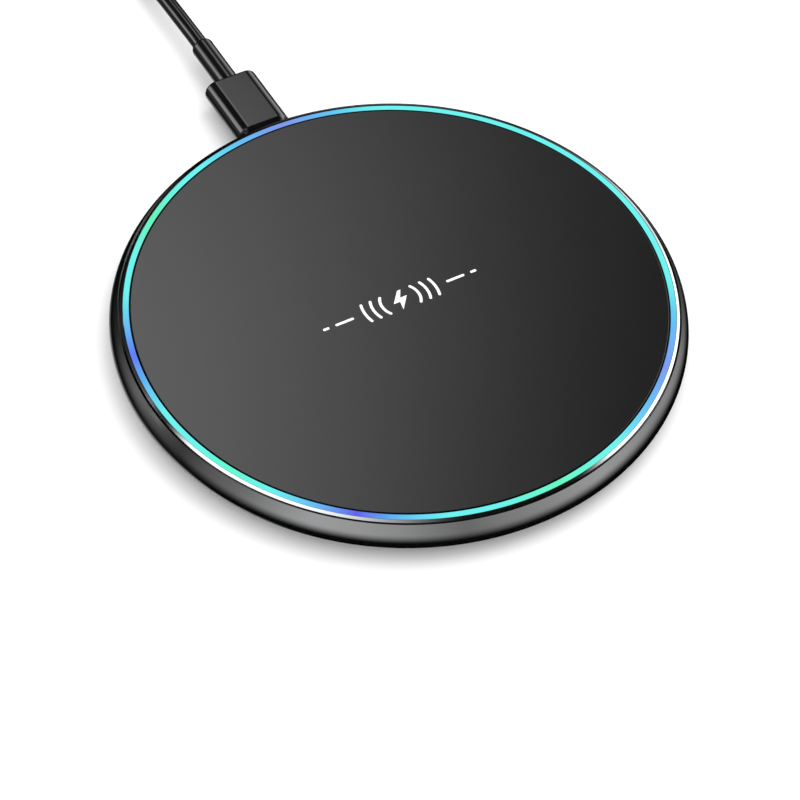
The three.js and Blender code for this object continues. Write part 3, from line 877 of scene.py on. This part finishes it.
def at_screws(part):
    """A copy of the part at each of the four screws."""
    return [shifted(part, *place) for place in SCREW_PLACES]


def frame_ring():
    """The metal ring: a flared wall, a groove, and a polished chamfer round the lit ring."""
    wall = [
        (47.2, 1.8, 0.05),
        (48.4, 1.8, 0.3),
        (49.4, 2.1, 0.4),
        (50, 2.7, 0.6),
        (50.5, 3.7, 1),
        (50.3, 5, 1),
        (49.78, 6.25, 0.9),
        (48.84, 7.48, 0),
        (48.66, 7.05, 0),
        (48.46, 7.544, 0),
        (48, 7.8, 0.02),
        (48, 5.8, 0.03),
        (46.6, 5.8, 0),
        (46.6, 2.25, 0),
        (47.2, 2.25, 0),
    ]
    part = turned(eased(wall, 6), closed=True)
    ring = make_one("frame_ring_body", PAD, "frame_metal", part, GUNMETAL, "frame_ring", 24)
    lugs = []
    posts = at_screws(cylinder(2.5, 3.6, 5.55))
    for degrees, post in zip(SCREW_ANGLES, posts):
        lugs += [spun(shifted(soft_box(7, 5, 4.6, 5.6, 0.15), LUG_PLACE), degrees), post]
    carve(ring, "UNION", lugs, 24)
    bores = at_screws(cylinder(0.86, 3, 5.1))
    pocket = shifted(soft_box(9.3, 10.8, 2.25, 5.85, 0.2), 0, 43.4)
    mouth = at_port(bar(stadium_section(9, 3), [(47, 0), (52, 0)]))
    return carve(ring, "DIFFERENCE", [*bores, pocket, mouth], 24)


def light_ring():
    profile = [
        (44.8, 5.8, 0.05),
        (47.92, 5.8, 0.05),
        (47.92, 7.8, 0.08),
        (46.92, 7.8, 0.08),
        (46.92, 6.5, 0.05),
        (44.8, 6.5, 0.05),
    ]
    part = turned(eased(profile), closed=True)
    return make_one("light_ring", PAD, "light_ring", part, LIT_PLASTIC, "light_guide")


def disc(name, slot, material, node, edge, steps=4, sharp=40):
    """A flat disc with a CAD node's size, and its rim rounded off by edge."""
    bottom, top, radius = flat_size(node)
    corners = [(0, bottom, 0), (radius, bottom, edge), (radius, top, edge), (0, top, 0)]
    return make_one(name, PAD, slot, turned(eased(corners, steps, closed=False)), material, node, sharp)


def hoop(name, slot, material, node, inner, edge):
    """A flat ring with a CAD node's outer size, and the given bore."""
    bottom, top, outer = flat_size(node)
    corners = [(inner, bottom, edge), (outer, bottom, edge), (outer, top, edge), (inner, top, edge)]
    return make_one(name, PAD, slot, turned(eased(corners), closed=True), material, node)


def flat_size(node):
    """The bottom, the top and the radius of a CAD node that lies flat round the pad's axis."""
    box = Box(node)
    return box.low.z, box.high.z, box.high.x


def bottom_cover():
    bottom, top, radius = flat_size("bottom_cover")
    floor_top = top - 0.4
    corners = [
        (0, bottom, 0),
        (radius - 0.6, bottom, 0.3),
        (radius, bottom + 0.6, 0.3),
        (radius, floor_top, 0.1),
        (0, floor_top, 0),
    ]
    part = turned(eased(corners, closed=False))
    cover = make_one("base_cover", PAD, "cover_plastic", part, BASE_PLASTIC, "bottom_cover")
    recess = [(0, 0), (4.6, 0), (4.6, 1.5), (1.75, 1.5), (1.75, 2.05), (0.95, 2.05), (0.95, 3), (0, 3)]
    carve(cover, "UNION", at_screws(cylinder(3, 2, 2.6)))
    return carve(cover, "DIFFERENCE", at_screws(turned(recess, SMALL_SIDES)))


def rubber_feet():
    profile = [(0, 0, 0), (4, 0, 0.4), (4.5, 1.1, 0.4), (4.5, 1.5, 0.08), (0, 1.5, 0)]
    shape = turned(eased(profile, closed=False), MIDDLE_SIDES)
    for number, part in enumerate(at_screws(shape), 1):
        make_one(f"rubber_foot_{number}", PAD, "foot_rubber", part, FOOT_RUBBER, f"foot_{number}")


def cover_screws():
    """Pan-head screws with a thread and a cross recess."""
    profile = [(0, 1.56, 0), (1.5, 1.56, 0.1), (1.6, 2.05, 0.1), (0.8, 2.05, 0.05)]
    for i in range(6):
        height = 2.35 + 0.4 * i
        profile += [(0.68, height, 0), (0.8, height + 0.2, 0.02)]
    profile += [(0.62, 4.75, 0.05), (0.3, 4.9, 0), (0, 4.9, 0)]
    shape = turned(eased(profile, 2, closed=False), SMALL_SIDES)
    slot = soft_box(1.7, 0.4, 1.3, 1.82, 0.05)
    for number, place in enumerate(SCREW_PLACES, 1):
        part = shifted(shape, *place)
        name = f"machine_screw_{number}"
        screw = make_one(name, PAD, "screw_steel", part, SCREW_METAL, f"screw_{number}")
        carve(screw, "DIFFERENCE", [shifted(spun(slot, turn), *place) for turn in (20, 110)])


def extruded(outline, bottom, top):
    """A flat part from an outline in X and Y."""
    return lofted([[(x, y, z) for x, y in outline] for z in (bottom, top)])


def arc_band(radius, width, first, last, steps=24):
    """A flat curved band round the origin, between two angles, with round ends."""
    outline = []
    for start, end, side in ((first, last, 1), (last, first, -1)):
        for i in range(steps + 1):
            outline.append(on_circle(radius + side * width / 2, start + (end - start) * i / steps))
        tip = Vector(on_circle(radius, end))
        for i in range(1, 6):
            x, y = on_circle(width / 2, end + 90 * (1 - side) + 30 * i)
            outline.append((tip.x + x, tip.y + y))
    return outline


def plate_mark():
    """A generic charging mark: a spark between radiating waves, and a dash at each end."""
    line = 0.5
    spark = [(0.5, 2.1), (-1.5, -0.35), (-0.25, -0.35), (-0.6, -2.2), (1.5, 0.45), (0.2, 0.45), (1.15, 2.1)]
    outlines = [spark]
    for radius in (3.6, 5.3, 7):
        half = math.degrees(math.asin(2 / radius))
        outlines += [arc_band(radius, line, facing - half, facing + half) for facing in (0, 180)]
    for length, x in ((3.6, 11), (1.2, 14.6)):
        dash = rounded_rectangle(length, line, line * 0.49)
        outlines += [[(side * x + dx, dy) for dx, dy in dash] for side in (-1, 1)]
    parts = [(extruded(outline, TOP_HEIGHT, TOP_HEIGHT + MARK_THICKNESS), 0) for outline in outlines]
    return make("plate_mark", PAD, "mark_print", parts, [MARK_INK])


# ---- electronics


def circuit_board():
    board = disc("circuit_board", "board_laminate", SOLDER_MASK, "main_board", 0.05)
    notch = shifted(soft_box(9.4, 8, 2, 5, 0.3), 0, 45.2)
    return carve(board, "DIFFERENCE", [notch, *at_screws(cylinder(1, 2, 4))])


def board_pads():
    """Tinned pads: two big ones for the coil's leads, and a row of test pads."""
    places = [(0, -31.4, 2.6, 2.6), (6.4, -33.2, 2.2, 2.6)]
    places += [(-32 + 2.2 * i, 20, 1.2, 1.2) for i in range(5)]
    parts = []
    for x, y, width, depth in places:
        pad = soft_box(width, depth, BOARD_TOP, BOARD_TOP + 0.04, 0.02, 0.3)
        parts.append((shifted(pad, x, y), 0))
    return make("board_solder_pads", PAD, "connector_steel", parts, [TIN])


def slotted(piece):
    """Cuts the slot for the coil's inner lead."""
    return carve(piece, "DIFFERENCE", [shifted(soft_box(2.2, 24, 3, 6, 0.2), 0, -18)])


COIL_INNER = 11
COIL_PITCH = 1.9
COIL_START = -40
COIL_SWEPT = 360 * 7 - 55
COIL_BELOW_FOAM = 0.925
WIRE_RADIUS = 0.4
WIRE_STEP = 0.8
LEAD_RADIUS = 0.47
STRANDS = 7
STRAND_LAY = 5


def spiral_route(offset):
    """One wire of the pair, offset from the middle of the winding."""
    height = Box("coil_foam_pad").centre.z - COIL_BELOW_FOAM
    route = []
    swept_angle = 0
    while swept_angle < COIL_SWEPT:
        radius = COIL_INNER + COIL_PITCH * swept_angle / 360 + offset
        route.append(Vector((*on_circle(radius, COIL_START + swept_angle), height)))
        swept_angle += math.degrees(WIRE_STEP / radius)
    radius = COIL_INNER + COIL_PITCH * COIL_SWEPT / 360 + offset
    route.append(Vector((*on_circle(radius, COIL_START + COIL_SWEPT), height)))
    return route


def litz_wire(route, radius, depth):
    return swept(route, radius, 3 * STRANDS, STRANDS, STRAND_LAY, depth), 0


def coil_winding():
    """A flat spiral of two stranded wires side by side, and their two leads."""
    wires = [spiral_route(offset) for offset in (-WIRE_RADIUS, WIRE_RADIUS)]
    parts = [litz_wire(wire, WIRE_RADIUS * 0.99, 0.06) for wire in wires]
    ends = spiral_route(0)
    inner = [(0, -31, 4.15), (0, -21, 4.15), (0, -10.5, 4.15), (0.4, -7.6, 4.3), (2.2, -5.9, 4.8)]
    inner.append((5.2, -6.3, 5.25))
    outer = [(2.2, -24.3, 5.3), (5, -25.8, 5.3), (6.3, -28.3, 4.95), (6.4, -30.4, 4.3), (6.4, -33, 4.15)]
    for route in ([*inner, ends[0]], [ends[-1], *outer]):
        parts.append(litz_wire(smooth_route(route, 0.7), LEAD_RADIUS, 0.08))
    return make("litz_coil", PAD, "coil_copper", parts, [COPPER], ["coil_winding"], sharp=70)


def foam_disc():
    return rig.padded(disc("foam_disc", "foam", FOAM, "coil_foam_pad", 0.12), fill=0.9)


def centred(parts, box):
    """The parts moved to the middle of a box, in X and Y."""
    return [(shifted(part, box.centre.x, box.centre.y), kind) for part, kind in parts]


def flat_chip(name, node, pads_per_side):
    """A moulded chip with a row of pads along each side and a dot at its first corner."""
    box = Box(node)
    bottom = box.low.z
    top = box.high.z
    parts = [(soft_box(box.size.x - 0.2, box.size.y - 0.2, bottom + 0.05, top, 0.08), 0)]
    for turn in range(4):
        along, across = (box.size.x, box.size.y) if turn % 2 == 0 else (box.size.y, box.size.x)
        pitch = (along - 1) / pads_per_side
        for i in range(pads_per_side):
            pad = soft_box(pitch * 0.5, 0.5, bottom, bottom + 0.2, 0.02)
            pad = shifted(pad, pitch * (i + 0.5 - pads_per_side / 2), across / 2 - 0.25)
            parts.append((spun(pad, 90 * turn), 1))
    dot = extruded(rounded_rectangle(0.5, 0.5, 0.249), top, top + 0.01)
    parts.append((shifted(dot, 0.7 - box.size.x / 2, box.size.y / 2 - 0.7), 2))
    return make(name, PAD, "chip_epoxy", centred(parts, box), [CHIP_EPOXY, TIN, MARK_INK], [node])


def end_capped(name, node, cap):
    """A ceramic block with a metal cap round each of its two ends."""
    box = Box(node)
    bottom = box.low.z
    top = box.high.z
    parts = [(soft_box(box.size.x - 2 * cap, box.size.y - 0.08, bottom + 0.04, top - 0.04, 0.03), 0)]
    for side in (-1, 1):
        end = soft_box(cap, box.size.y, bottom, top, 0.08)
        parts.append((shifted(end, side * (box.size.x - cap) / 2), 1))
    return make(name, PAD, "capacitor_ceramic", centred(parts, box), [CERAMIC, TIN], [node])


def power_inductor():
    box = Box("power_inductor")
    bottom = box.low.z
    parts = [(soft_box(box.size.x, box.size.y, bottom + 0.1, box.high.z, 0.25, 0.6), 0)]
    for side in (-1, 1):
        pad = soft_box(1.2, box.size.y * 0.6, bottom, bottom + 0.3, 0.04)
        parts.append((shifted(pad, side * (box.size.x / 2 - 0.6)), 1))
    parts = centred(parts, box)
    return make("shielded_inductor", PAD, "ferrite", parts, [FERRITE, TIN], ["power_inductor"])


def crystal_can():
    box = Box("crystal")
    bottom = box.low.z
    parts = [
        (soft_box(box.size.x, box.size.y, bottom, bottom + 0.4, 0.04, 0.15), 1),
        (soft_box(box.size.x - 0.4, box.size.y - 0.4, bottom + 0.35, box.high.z, 0.08, 0.3), 0),
    ]
    return make("crystal_can", PAD, "connector_steel", centred(parts, box), [STEEL, CERAMIC], ["crystal"])


def temperature_sensor():
    """A bead of epoxy in the middle of the coil, with its two legs bent to the board."""
    bottom = Box("thermistor").low.z
    bead = eased([(0, 4, 0), (1.3, 4.1, 0.6), (1.35, 5.3, 0.6), (0, 5.6, 0.5)], 6, closed=False)
    parts = [(turned(bead, SMALL_SIDES), 0)]
    for x in (-0.5, 0.5):
        leg = [(x, 0, 4.4), (x, 0, 3.95), (x * 1.6, 0, 3.75), (x * 2.4, 0, bottom + 0.12)]
        parts.append((swept(smooth_route(leg, 0.1), 0.12, 10), 1))
    return make("temperature_sensor", PAD, "chip_epoxy", parts, [CHIP_EPOXY, TIN], ["thermistor"])


LED_CIRCLE = 44.5
LED_COUNT = 8


def side_leds():
    """Eight LEDs under the lit ring: a white moulding, a lens of gel, and two tinned ends."""
    bottom = Box("led_1").low.z
    lens = standing(
        lambda inset: [(x, y) for y, x in reversed(stadium(1.9 - 2 * inset, 1.2 - 2 * inset, 5))],
        [(bottom + 0.9, 0), (bottom + 1.1, 0), (bottom + 1.2, 0.15)],
    )
    shapes = [(soft_box(1.6, 2.4, bottom, bottom + 1, 0.06), 0), (lens, 1)]
    for side in (-1, 1):
        shapes.append((shifted(soft_box(1.5, 0.42, bottom, bottom + 0.6, 0.04), 0, side * 1.39), 2))
    for i in range(LED_COUNT):
        turn = 360 / LED_COUNT * (i + 0.5)
        parts = [(spun(shifted(part, LED_CIRCLE), turn), kind) for part, kind in shapes]
        make(f"side_led_{i + 1}", PAD, "led_package", parts, [LED_BODY, LED_GEL, TIN], [f"led_{i + 1}"])


def usb_socket():
    """The receptacle: a drawn steel shell, and its tongue with contacts on both faces."""
    box = Box("usb_socket_shell")
    front = box.low.y
    shell = hollow_bar(stadium_section(8.94, 3.26), stadium_section(8.4, 2.7), front, box.high.y, 0.08)
    make_one("socket_shell", PAD, "connector_steel", at_port(shell), STEEL, "usb_socket_shell")
    root = bar(stadium_section(8.2, 2.5), rounded_stations(front + 0.2, 43.3, 0.1))
    tongue = bar(rectangle_section(6.7, 0.7, 0.2, 0.5, 3), rounded_stations(43, 48, 0.1))
    parts = [(at_port(root), 0), (at_port(tongue), 0)]
    contact = soft_box(0.26, 3.6, -0.02, 0.02, 0.01)
    for face in (-1, 1):
        for i in range(12):
            parts.append((shifted(contact, (i - 5.5) * 0.5, 45.6, PORT_HEIGHT + face * 0.35), 1))
    make("socket_tongue", PAD, "black_insulator", parts, [CONTACT_BLACK, GOLD], ["usb_socket_tongue"])


# ---- USB-C plug


def usb_c_plug():
    """The plug on the pad's end of the cable: returns its pieces."""
    return [usb_c_shell(), usb_c_insulator(), usb_c_overmold(), usb_c_relief()]


def usb_c_shell():
    box = Box("usb_c_plug_shell")
    part = hollow_bar(stadium_section(8.2, 2.4), stadium_section(7.5, 1.7), box.low.y, box.high.y, 0.14)
    return make_one("plug_shell", CABLE, "connector_steel", at_port(part), STEEL, "usb_c_plug_shell")


def usb_c_insulator():
    node = "usb_c_plug_insulator"
    stations = rounded_stations(Box(node).low.y, Box("usb_c_plug_shell").high.y, 0.08)
    core = at_port(bar(stadium_section(7.3, 1.5), stations))
    insulator = make_one("plug_insulator", CABLE, "black_insulator", core, CONTACT_BLACK, node)
    slot = bar(rectangle_section(6.9, 1, 0.1, steps=3), [(43, 0), (48.3, 0)])
    return carve(insulator, "DIFFERENCE", [at_port(slot)])


def usb_c_overmold():
    """The gloss body, flat above and below and round at its sides, with a mitred bevel at the front."""
    box = Box("usb_c_overmold")
    front = box.low.y
    back = box.high.y
    bevel = 0.6
    stations = [
        (front, bevel),
        (front + 0.03, bevel - 0.03),
        (front + bevel, 0.02),
        (front + bevel + 0.05, 0),
        (back - 0.45, 0),
        (back - 0.2, 0.04),
        (back - 0.06, 0.14),
        (back, 0.32),
    ]
    body = at_port(bar(stadium_section(box.size.x, box.size.z, 16), stations))
    plug = make_one("plug_body", CABLE, "plug_gloss", body, GLOSS_BLACK, "usb_c_overmold", 30)
    socket = bar(stadium_section(8.4, 2.6), [(front - 1, 0), (front + 2, 0)])
    return carve(plug, "DIFFERENCE", [at_port(socket)], 30)


def usb_c_relief():
    """A short sleeve with a small fillet at the end where the cable leaves it."""
    box = Box("usb_c_strain_relief")
    length = box.size.y
    radius = box.size.x / 2
    cord_radius = CORD_DIAMETER / 2
    corners = [
        (0, -0.2, 0),
        (radius, -0.2, 0),
        (radius, length, 0.5),
        (cord_radius + 0.05, length, 0.06),
        (cord_radius + 0.02, length - 0.3, 0),
        (0, length - 0.3, 0),
    ]
    part = tipped(turned(eased(corners, 6, closed=False), MIDDLE_SIDES), -90)
    part = shifted(part, 0, box.low.y, PORT_HEIGHT)
    return make_one("plug_relief", CABLE, "cable_jacket", part, CABLE_JACKET, "usb_c_strain_relief")


# ---- USB-A plug


def usb_a_plug():
    """The plug on the far end of the cable: returns its pieces."""
    return [usb_a_overmold(), usb_a_shell(), usb_a_tongue(), usb_a_relief()]


def usb_a_overmold():
    """A moulded grip, hollowed a little on its two flat faces."""
    node = "usb_a_overmold"
    box = Box(node)
    front = box.low.y
    stations = rounded_stations(front, box.high.y, 0.8, 6)
    body = bar(rectangle_section(box.size.x, box.size.z, 1.4, 0.6, 8), stations)
    body = shifted(body, box.centre.x, 0, box.centre.z)
    grip = make_one("type_a_body", CABLE, "plug_gloss", body, GLOSS_BLACK, node, 30)
    shell = Box("usb_a_shell").size
    tools = [bar(rectangle_section(shell.x + 0.3, shell.z + 0.3, 0.4), [(front - 1, 0), (front + 4.1, 0)])]
    groove = soft_box(9, 0.7, -0.25, 0.25, 0.2, 0.34)
    for face in (-1, 1):
        tools += [shifted(groove, 0, front + 7 + 1.8 * i, face * box.size.z / 2) for i in range(5)]
    return carve(grip, "DIFFERENCE", [shifted(tool, box.centre.x, 0, box.centre.z) for tool in tools], 30)


def rectangular_tube(box, wall, edge, outer_radius, inner_radius, steps=5):
    """A tube along Y that fills a box, with rounded corners."""
    outer = rectangle_section(box.size.x, box.size.z, outer_radius, 1, steps)
    inner = rectangle_section(box.size.x - 2 * wall, box.size.z - 2 * wall, inner_radius, 0.5, steps)
    return shifted(hollow_bar(outer, inner, box.low.y, box.high.y, edge), box.centre.x, 0, box.centre.z)


def usb_a_shell():
    node = "usb_a_shell"
    box = Box(node)
    part = rectangular_tube(box, 0.35, 0.08, 0.5, 0.15)
    shell = make_one("type_a_shell", CABLE, "connector_steel", part, STEEL, node, 30)
    window = shifted(soft_box(2.3, 2.5, -0.5, 0.5, 0.1), box.centre.x, box.low.y + 6.4, box.centre.z)
    places = [(side * 2.9, 0, face * box.size.z / 2) for side in (-1, 1) for face in (-1, 1)]
    return carve(shell, "DIFFERENCE", [shifted(window, *place) for place in places], 30)


def usb_a_tongue():
    """The contact carrier: a tongue in the lower half of the shell, with four gold contacts."""
    node = "usb_a_tongue"
    box = Box(node)
    centre_x = Box("usb_a_shell").centre.x
    bottom = box.low.z
    top = bottom + 1.9
    tongue = soft_box(box.size.x, box.size.y, bottom, top, 0.1)
    block = soft_box(box.size.x, 3.4, bottom, box.high.z, 0.1)
    parts = [(shifted(tongue, centre_x, box.centre.y), 0), (shifted(block, centre_x, box.high.y - 1.7), 0)]
    for x, length in ((-3.5, 7.4), (-1, 6.4), (1, 6.4), (3.5, 7.4)):
        contact = soft_box(1, length, -0.03, 0.05, 0.02)
        parts.append((shifted(contact, centre_x + x, box.low.y + 1 + length / 2, top), 1))
    return make("type_a_tongue", CABLE, "black_insulator", parts, [CONTACT_WHITE, GOLD], [node])


def usb_a_relief():
    """A tapered sleeve with ribs, so that it bends."""
    node = "usb_a_strain_relief"
    box = Box(node)
    length = box.size.y
    profile = [(0, 0, 0), (1.75, 0, 0.2)]
    for i in range(6):
        at = 1.2 + 1.6 * i
        radius = 1.9 + 0.4 * at / length
        valley = radius - 0.3
        profile += [(radius, at, 0.1), (radius, at + 0.8, 0.1)]
        profile += [(valley, at + 0.9, 0.1), (valley, at + 1.5, 0.1)]
    profile += [(2.3, length - 0.9, 0.1), (2.3, length, 0), (0, length, 0)]
    part = tipped(turned(eased(profile, 3, closed=False), SMALL_SIDES), 90)
    part = shifted(part, box.centre.x, box.high.y, box.centre.z)
    return make_one("type_a_relief", CABLE, "cable_jacket", part, CABLE_JACKET, node)


def cable_tie():
    """A moulded band round the stored turns, with ribs, and a stud through its overlapping end."""
    box = Box("coil_tie")
    stud = eased([(0, -0.2, 0), (0.9, -0.2, 0), (1, 0.35, 0.25), (0, 0.4, 0.3)], closed=False)
    rib = soft_box(0.3, box.size.y * 0.7, -0.1, 0.12, 0.05)
    raised = [turned(stud, SMALL_SIDES)]
    raised += [shifted(rib, 2 + 0.8 * i) for i in range(4)]
    parts = [(rectangular_tube(box, 0.5, 0.12, 1.2, 0.75, 6), 0)]
    parts += [(shifted(part, box.centre.x, box.centre.y, box.high.z), 0) for part in raised]
    return make("cable_tie", CABLE, "tie_rubber", parts, [TIE_RUBBER], ["coil_tie"])


# ---- stage and light

FLOOR_HALF = 3000
# Soft panels round the object. Each one has four azimuths, four elevations and a brightness: it fades in
# from the first angle to the second, and out from the third to the fourth. Azimuth 0 is straight ahead
# of the camera, and grows to the right.
PANELS = {
    "sky": ((-26, -16, -12, 9), (36, 50, 62, 80), 4.1),
    "left_strip": ((-96, -88, -77, -70), (4, 14, 34, 41), 6.0),
    "left_top": ((-222, -120, -90, -75), (43, 50, 62, 86), 5.0),
    "right_side": ((20, 36, 79, 93), (3, 17, 44, 58), 6.0),
    "right_low": ((10, 20, 32, 42), (-8, 2, 18, 30), 1.8),
    "left_floor": ((-110, -90, -40, -15), (-78, -66, -50, -32), 0.8),
    "ahead_low": ((5, 13, 21, 29), (-6, 2, 26, 34), 0.85),
}
# The glow from the floor and the room's lower half: azimuth and brightness.
LOWER_GLOW = [
    (-180, 1.06),
    (-154, 1.37),
    (-129, 0.55),
    (-105, 0.12),
    (-82, 0.44),
    (-60, 0.07),
    (-40, 0.0),
    (5, 0.0),
    (25, 0.7),
    (40, 0.55),
    (58, 0.98),
    (82, 0.91),
    (105, 1.22),
    (129, 0.9),
    (154, 0.55),
    (180, 1.06),
]
GLOW_PEAK = 1.4
GLOW_HEIGHTS = (-34, 4, 32, 42)
UPPER_GLOW = 0.006
AMBIENT = 1.35


def azimuth_of(tree, direction, middle_azimuth):
    """A direction's azimuth to the right of a middle one, in degrees."""
    inputs = {"Vector": direction, "Angle": -math.radians(90 + CAMERA_AZIMUTH - middle_azimuth)}
    turned_to = add_node(tree, "VectorRotate", inputs, rotation_type="Z_AXIS").outputs[0]
    along = add_node(tree, "SeparateXYZ", {0: turned_to}).outputs
    return maths(tree, "MULTIPLY", maths(tree, "ARCTAN2", along[1], along[0]), -math.degrees(1))


def window(tree, value, stops):
    """0 outside the first and last stops, and 1 between the second and third."""
    rise = fade(tree, value, stops[0], stops[1])
    return maths(tree, "MULTIPLY", rise, fade(tree, value, stops[3], stops[2]))


def panel(tree, direction, elevation, azimuths, elevations, brightness):
    """The brightness that one soft panel adds in a direction."""
    middle_azimuth = (azimuths[0] + azimuths[3]) / 2
    across = azimuth_of(tree, direction, middle_azimuth)
    shape = window(tree, across, [azimuth - middle_azimuth for azimuth in azimuths])
    shape = maths(tree, "MULTIPLY", shape, window(tree, elevation, elevations))
    return maths(tree, "MULTIPLY", shape, brightness)


def lower_glow(tree, direction, elevation):
    turn = maths(tree, "MULTIPLY_ADD", azimuth_of(tree, direction, 0), 1 / 360, 0.5)
    ramp = add_node(tree, "ValToRGB", {0: turn})
    elements = ramp.color_ramp.elements
    while len(elements) < len(LOWER_GLOW):
        elements.new(1.0)
    for element, (azimuth, brightness) in zip(elements, LOWER_GLOW):
        element.position = azimuth / 360 + 0.5
        element.color = (*grey(brightness / GLOW_PEAK), 1)
    shape = maths(tree, "MULTIPLY", ramp.outputs[0], window(tree, elevation, GLOW_HEIGHTS))
    return maths(tree, "MULTIPLY", shape, GLOW_PEAK)


def make_world():
    """A studio: soft panels for gloss, a dim glow below, and even light for matt surfaces."""
    world = bpy.data.worlds.new("studio")
    bpy.context.scene.world = world
    tree = empty_tree(world)
    direction = add_node(tree, "TexCoord").outputs["Generated"]
    height = add_node(tree, "SeparateXYZ", {0: direction}).outputs[2]
    elevation = maths(tree, "MULTIPLY", maths(tree, "ARCSINE", height), math.degrees(1))
    total = maths(tree, "MULTIPLY", fade(tree, elevation, 0, 6), UPPER_GLOW)
    for values in PANELS.values():
        total = maths(tree, "ADD", total, panel(tree, direction, elevation, *values))
    total = maths(tree, "ADD", total, lower_glow(tree, direction, elevation))
    path = add_node(tree, "LightPath").outputs
    gloss, even, white = [
        add_node(tree, "Background", {"Color": (1, 1, 1, 1), "Strength": strength}).outputs[0]
        for strength in (total, AMBIENT, 1.0)
    ]
    matt = add_node(tree, "MixShader", {0: path["Is Glossy Ray"], 1: even, 2: gloss})
    seen = add_node(tree, "MixShader", {0: path["Is Camera Ray"], 1: matt.outputs[0], 2: white})
    add_node(tree, "OutputWorld", {"Surface": seen.outputs[0]})


def make_floor():
    """A pale floor that takes shadows, and shows nothing from below or in reflections."""
    corners = [(x * FLOOR_HALF, y * FLOOR_HALF, 0) for x, y in ((-1, -1), (1, -1), (1, 1), (-1, 1))]
    floor = new_object("studio_floor", new_mesh("studio_floor", corners, [[0, 1, 2, 3]]))
    floor.location.z = -0.02 * MM
    floor.visible_glossy = False
    floor.visible_diffuse = False
    floor.visible_shadow = False
    material = bpy.data.materials.new("pale_floor")
    tree = empty_tree(material)
    pale = add_node(tree, "BsdfDiffuse", {"Color": (0.85, 0.85, 0.85, 1)})
    clear = add_node(tree, "BsdfTransparent")
    back = add_node(tree, "NewGeometry").outputs["Backfacing"]
    both = add_node(tree, "MixShader", {0: back, 1: pale.outputs[0], 2: clear.outputs[0]})
    add_node(tree, "OutputMaterial", {"Surface": both.outputs[0]})
    floor.data.materials.append(material)
    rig.stage(floor)


def area_light(name, azimuth, elevation, distance, size, power):
    """A square soft light, some metres off, that points at the pad and shows in no reflection."""
    angle = math.radians(90 + CAMERA_AZIMUTH - azimuth)
    rise = math.radians(elevation)
    away = Vector((math.cos(angle) * math.cos(rise), math.sin(angle) * math.cos(rise), math.sin(rise)))
    data = bpy.data.lights.new(name, "AREA")
    data.size = size
    data.energy = power
    light = new_object(name, data)
    light.location = away * distance
    light.rotation_mode = "QUATERNION"
    light.rotation_quaternion = away.to_track_quat("Z", "Y")
    light.visible_glossy = False


def make_lights():
    area_light("key_light", 50, 58, 1.2, 1.0, 6)


# ---- the whole object

CAPACITOR_COUNT = 4


def build_housing():
    frame_ring()
    light_ring()
    disc("charging_plate", "top_coating", PLATE_COATING, "top_plate", 0.07, 5, 60)
    plate_mark()
    hoop("adhesive_hoop", "adhesive", ADHESIVE, "plate_adhesive", 44.9, 0.01)
    bottom_cover()
    rubber_feet()
    cover_screws()


def build_electronics():
    circuit_board()
    board_pads()
    slotted(hoop("ferrite_sheet", "ferrite", FERRITE, "ferrite_shield", 8, 0.06))
    slotted(hoop("ferrite_adhesive", "adhesive", ADHESIVE, "ferrite_tape", 8, 0.01))
    coil_winding()
    foam_disc()
    flat_chip("charging_controller", "controller_chip", 7)
    flat_chip("power_stage_left", "half_bridge_left", 4)
    flat_chip("power_stage_right", "half_bridge_right", 4)
    end_capped("supply_capacitor", "input_capacitor", 0.6)
    for i in range(1, CAPACITOR_COUNT + 1):
        end_capped(f"tank_capacitor_{i}", f"resonant_capacitor_{i}", 0.55)
    power_inductor()
    crystal_can()
    temperature_sensor()
    side_leds()
    usb_socket()


make_camera()
cord = make_cord()
declare_cord(cord, [*usb_c_plug(), *usb_a_plug(), cable_tie()])
build_housing()
build_electronics()
even_shading()
make_world()
make_floor()
make_lights()
bpy.context.scene.view_settings.view_transform = "Standard"

bpy.context.view_layer.update()
VISUAL_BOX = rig.bounds()
with open(SIZE_FILE, "w") as size_file:
    boxes = {"cad": CAD_BOX, "visual": VISUAL_BOX}
    json.dump({name: [list(corner) for corner in box] for name, box in boxes.items()}, size_file)
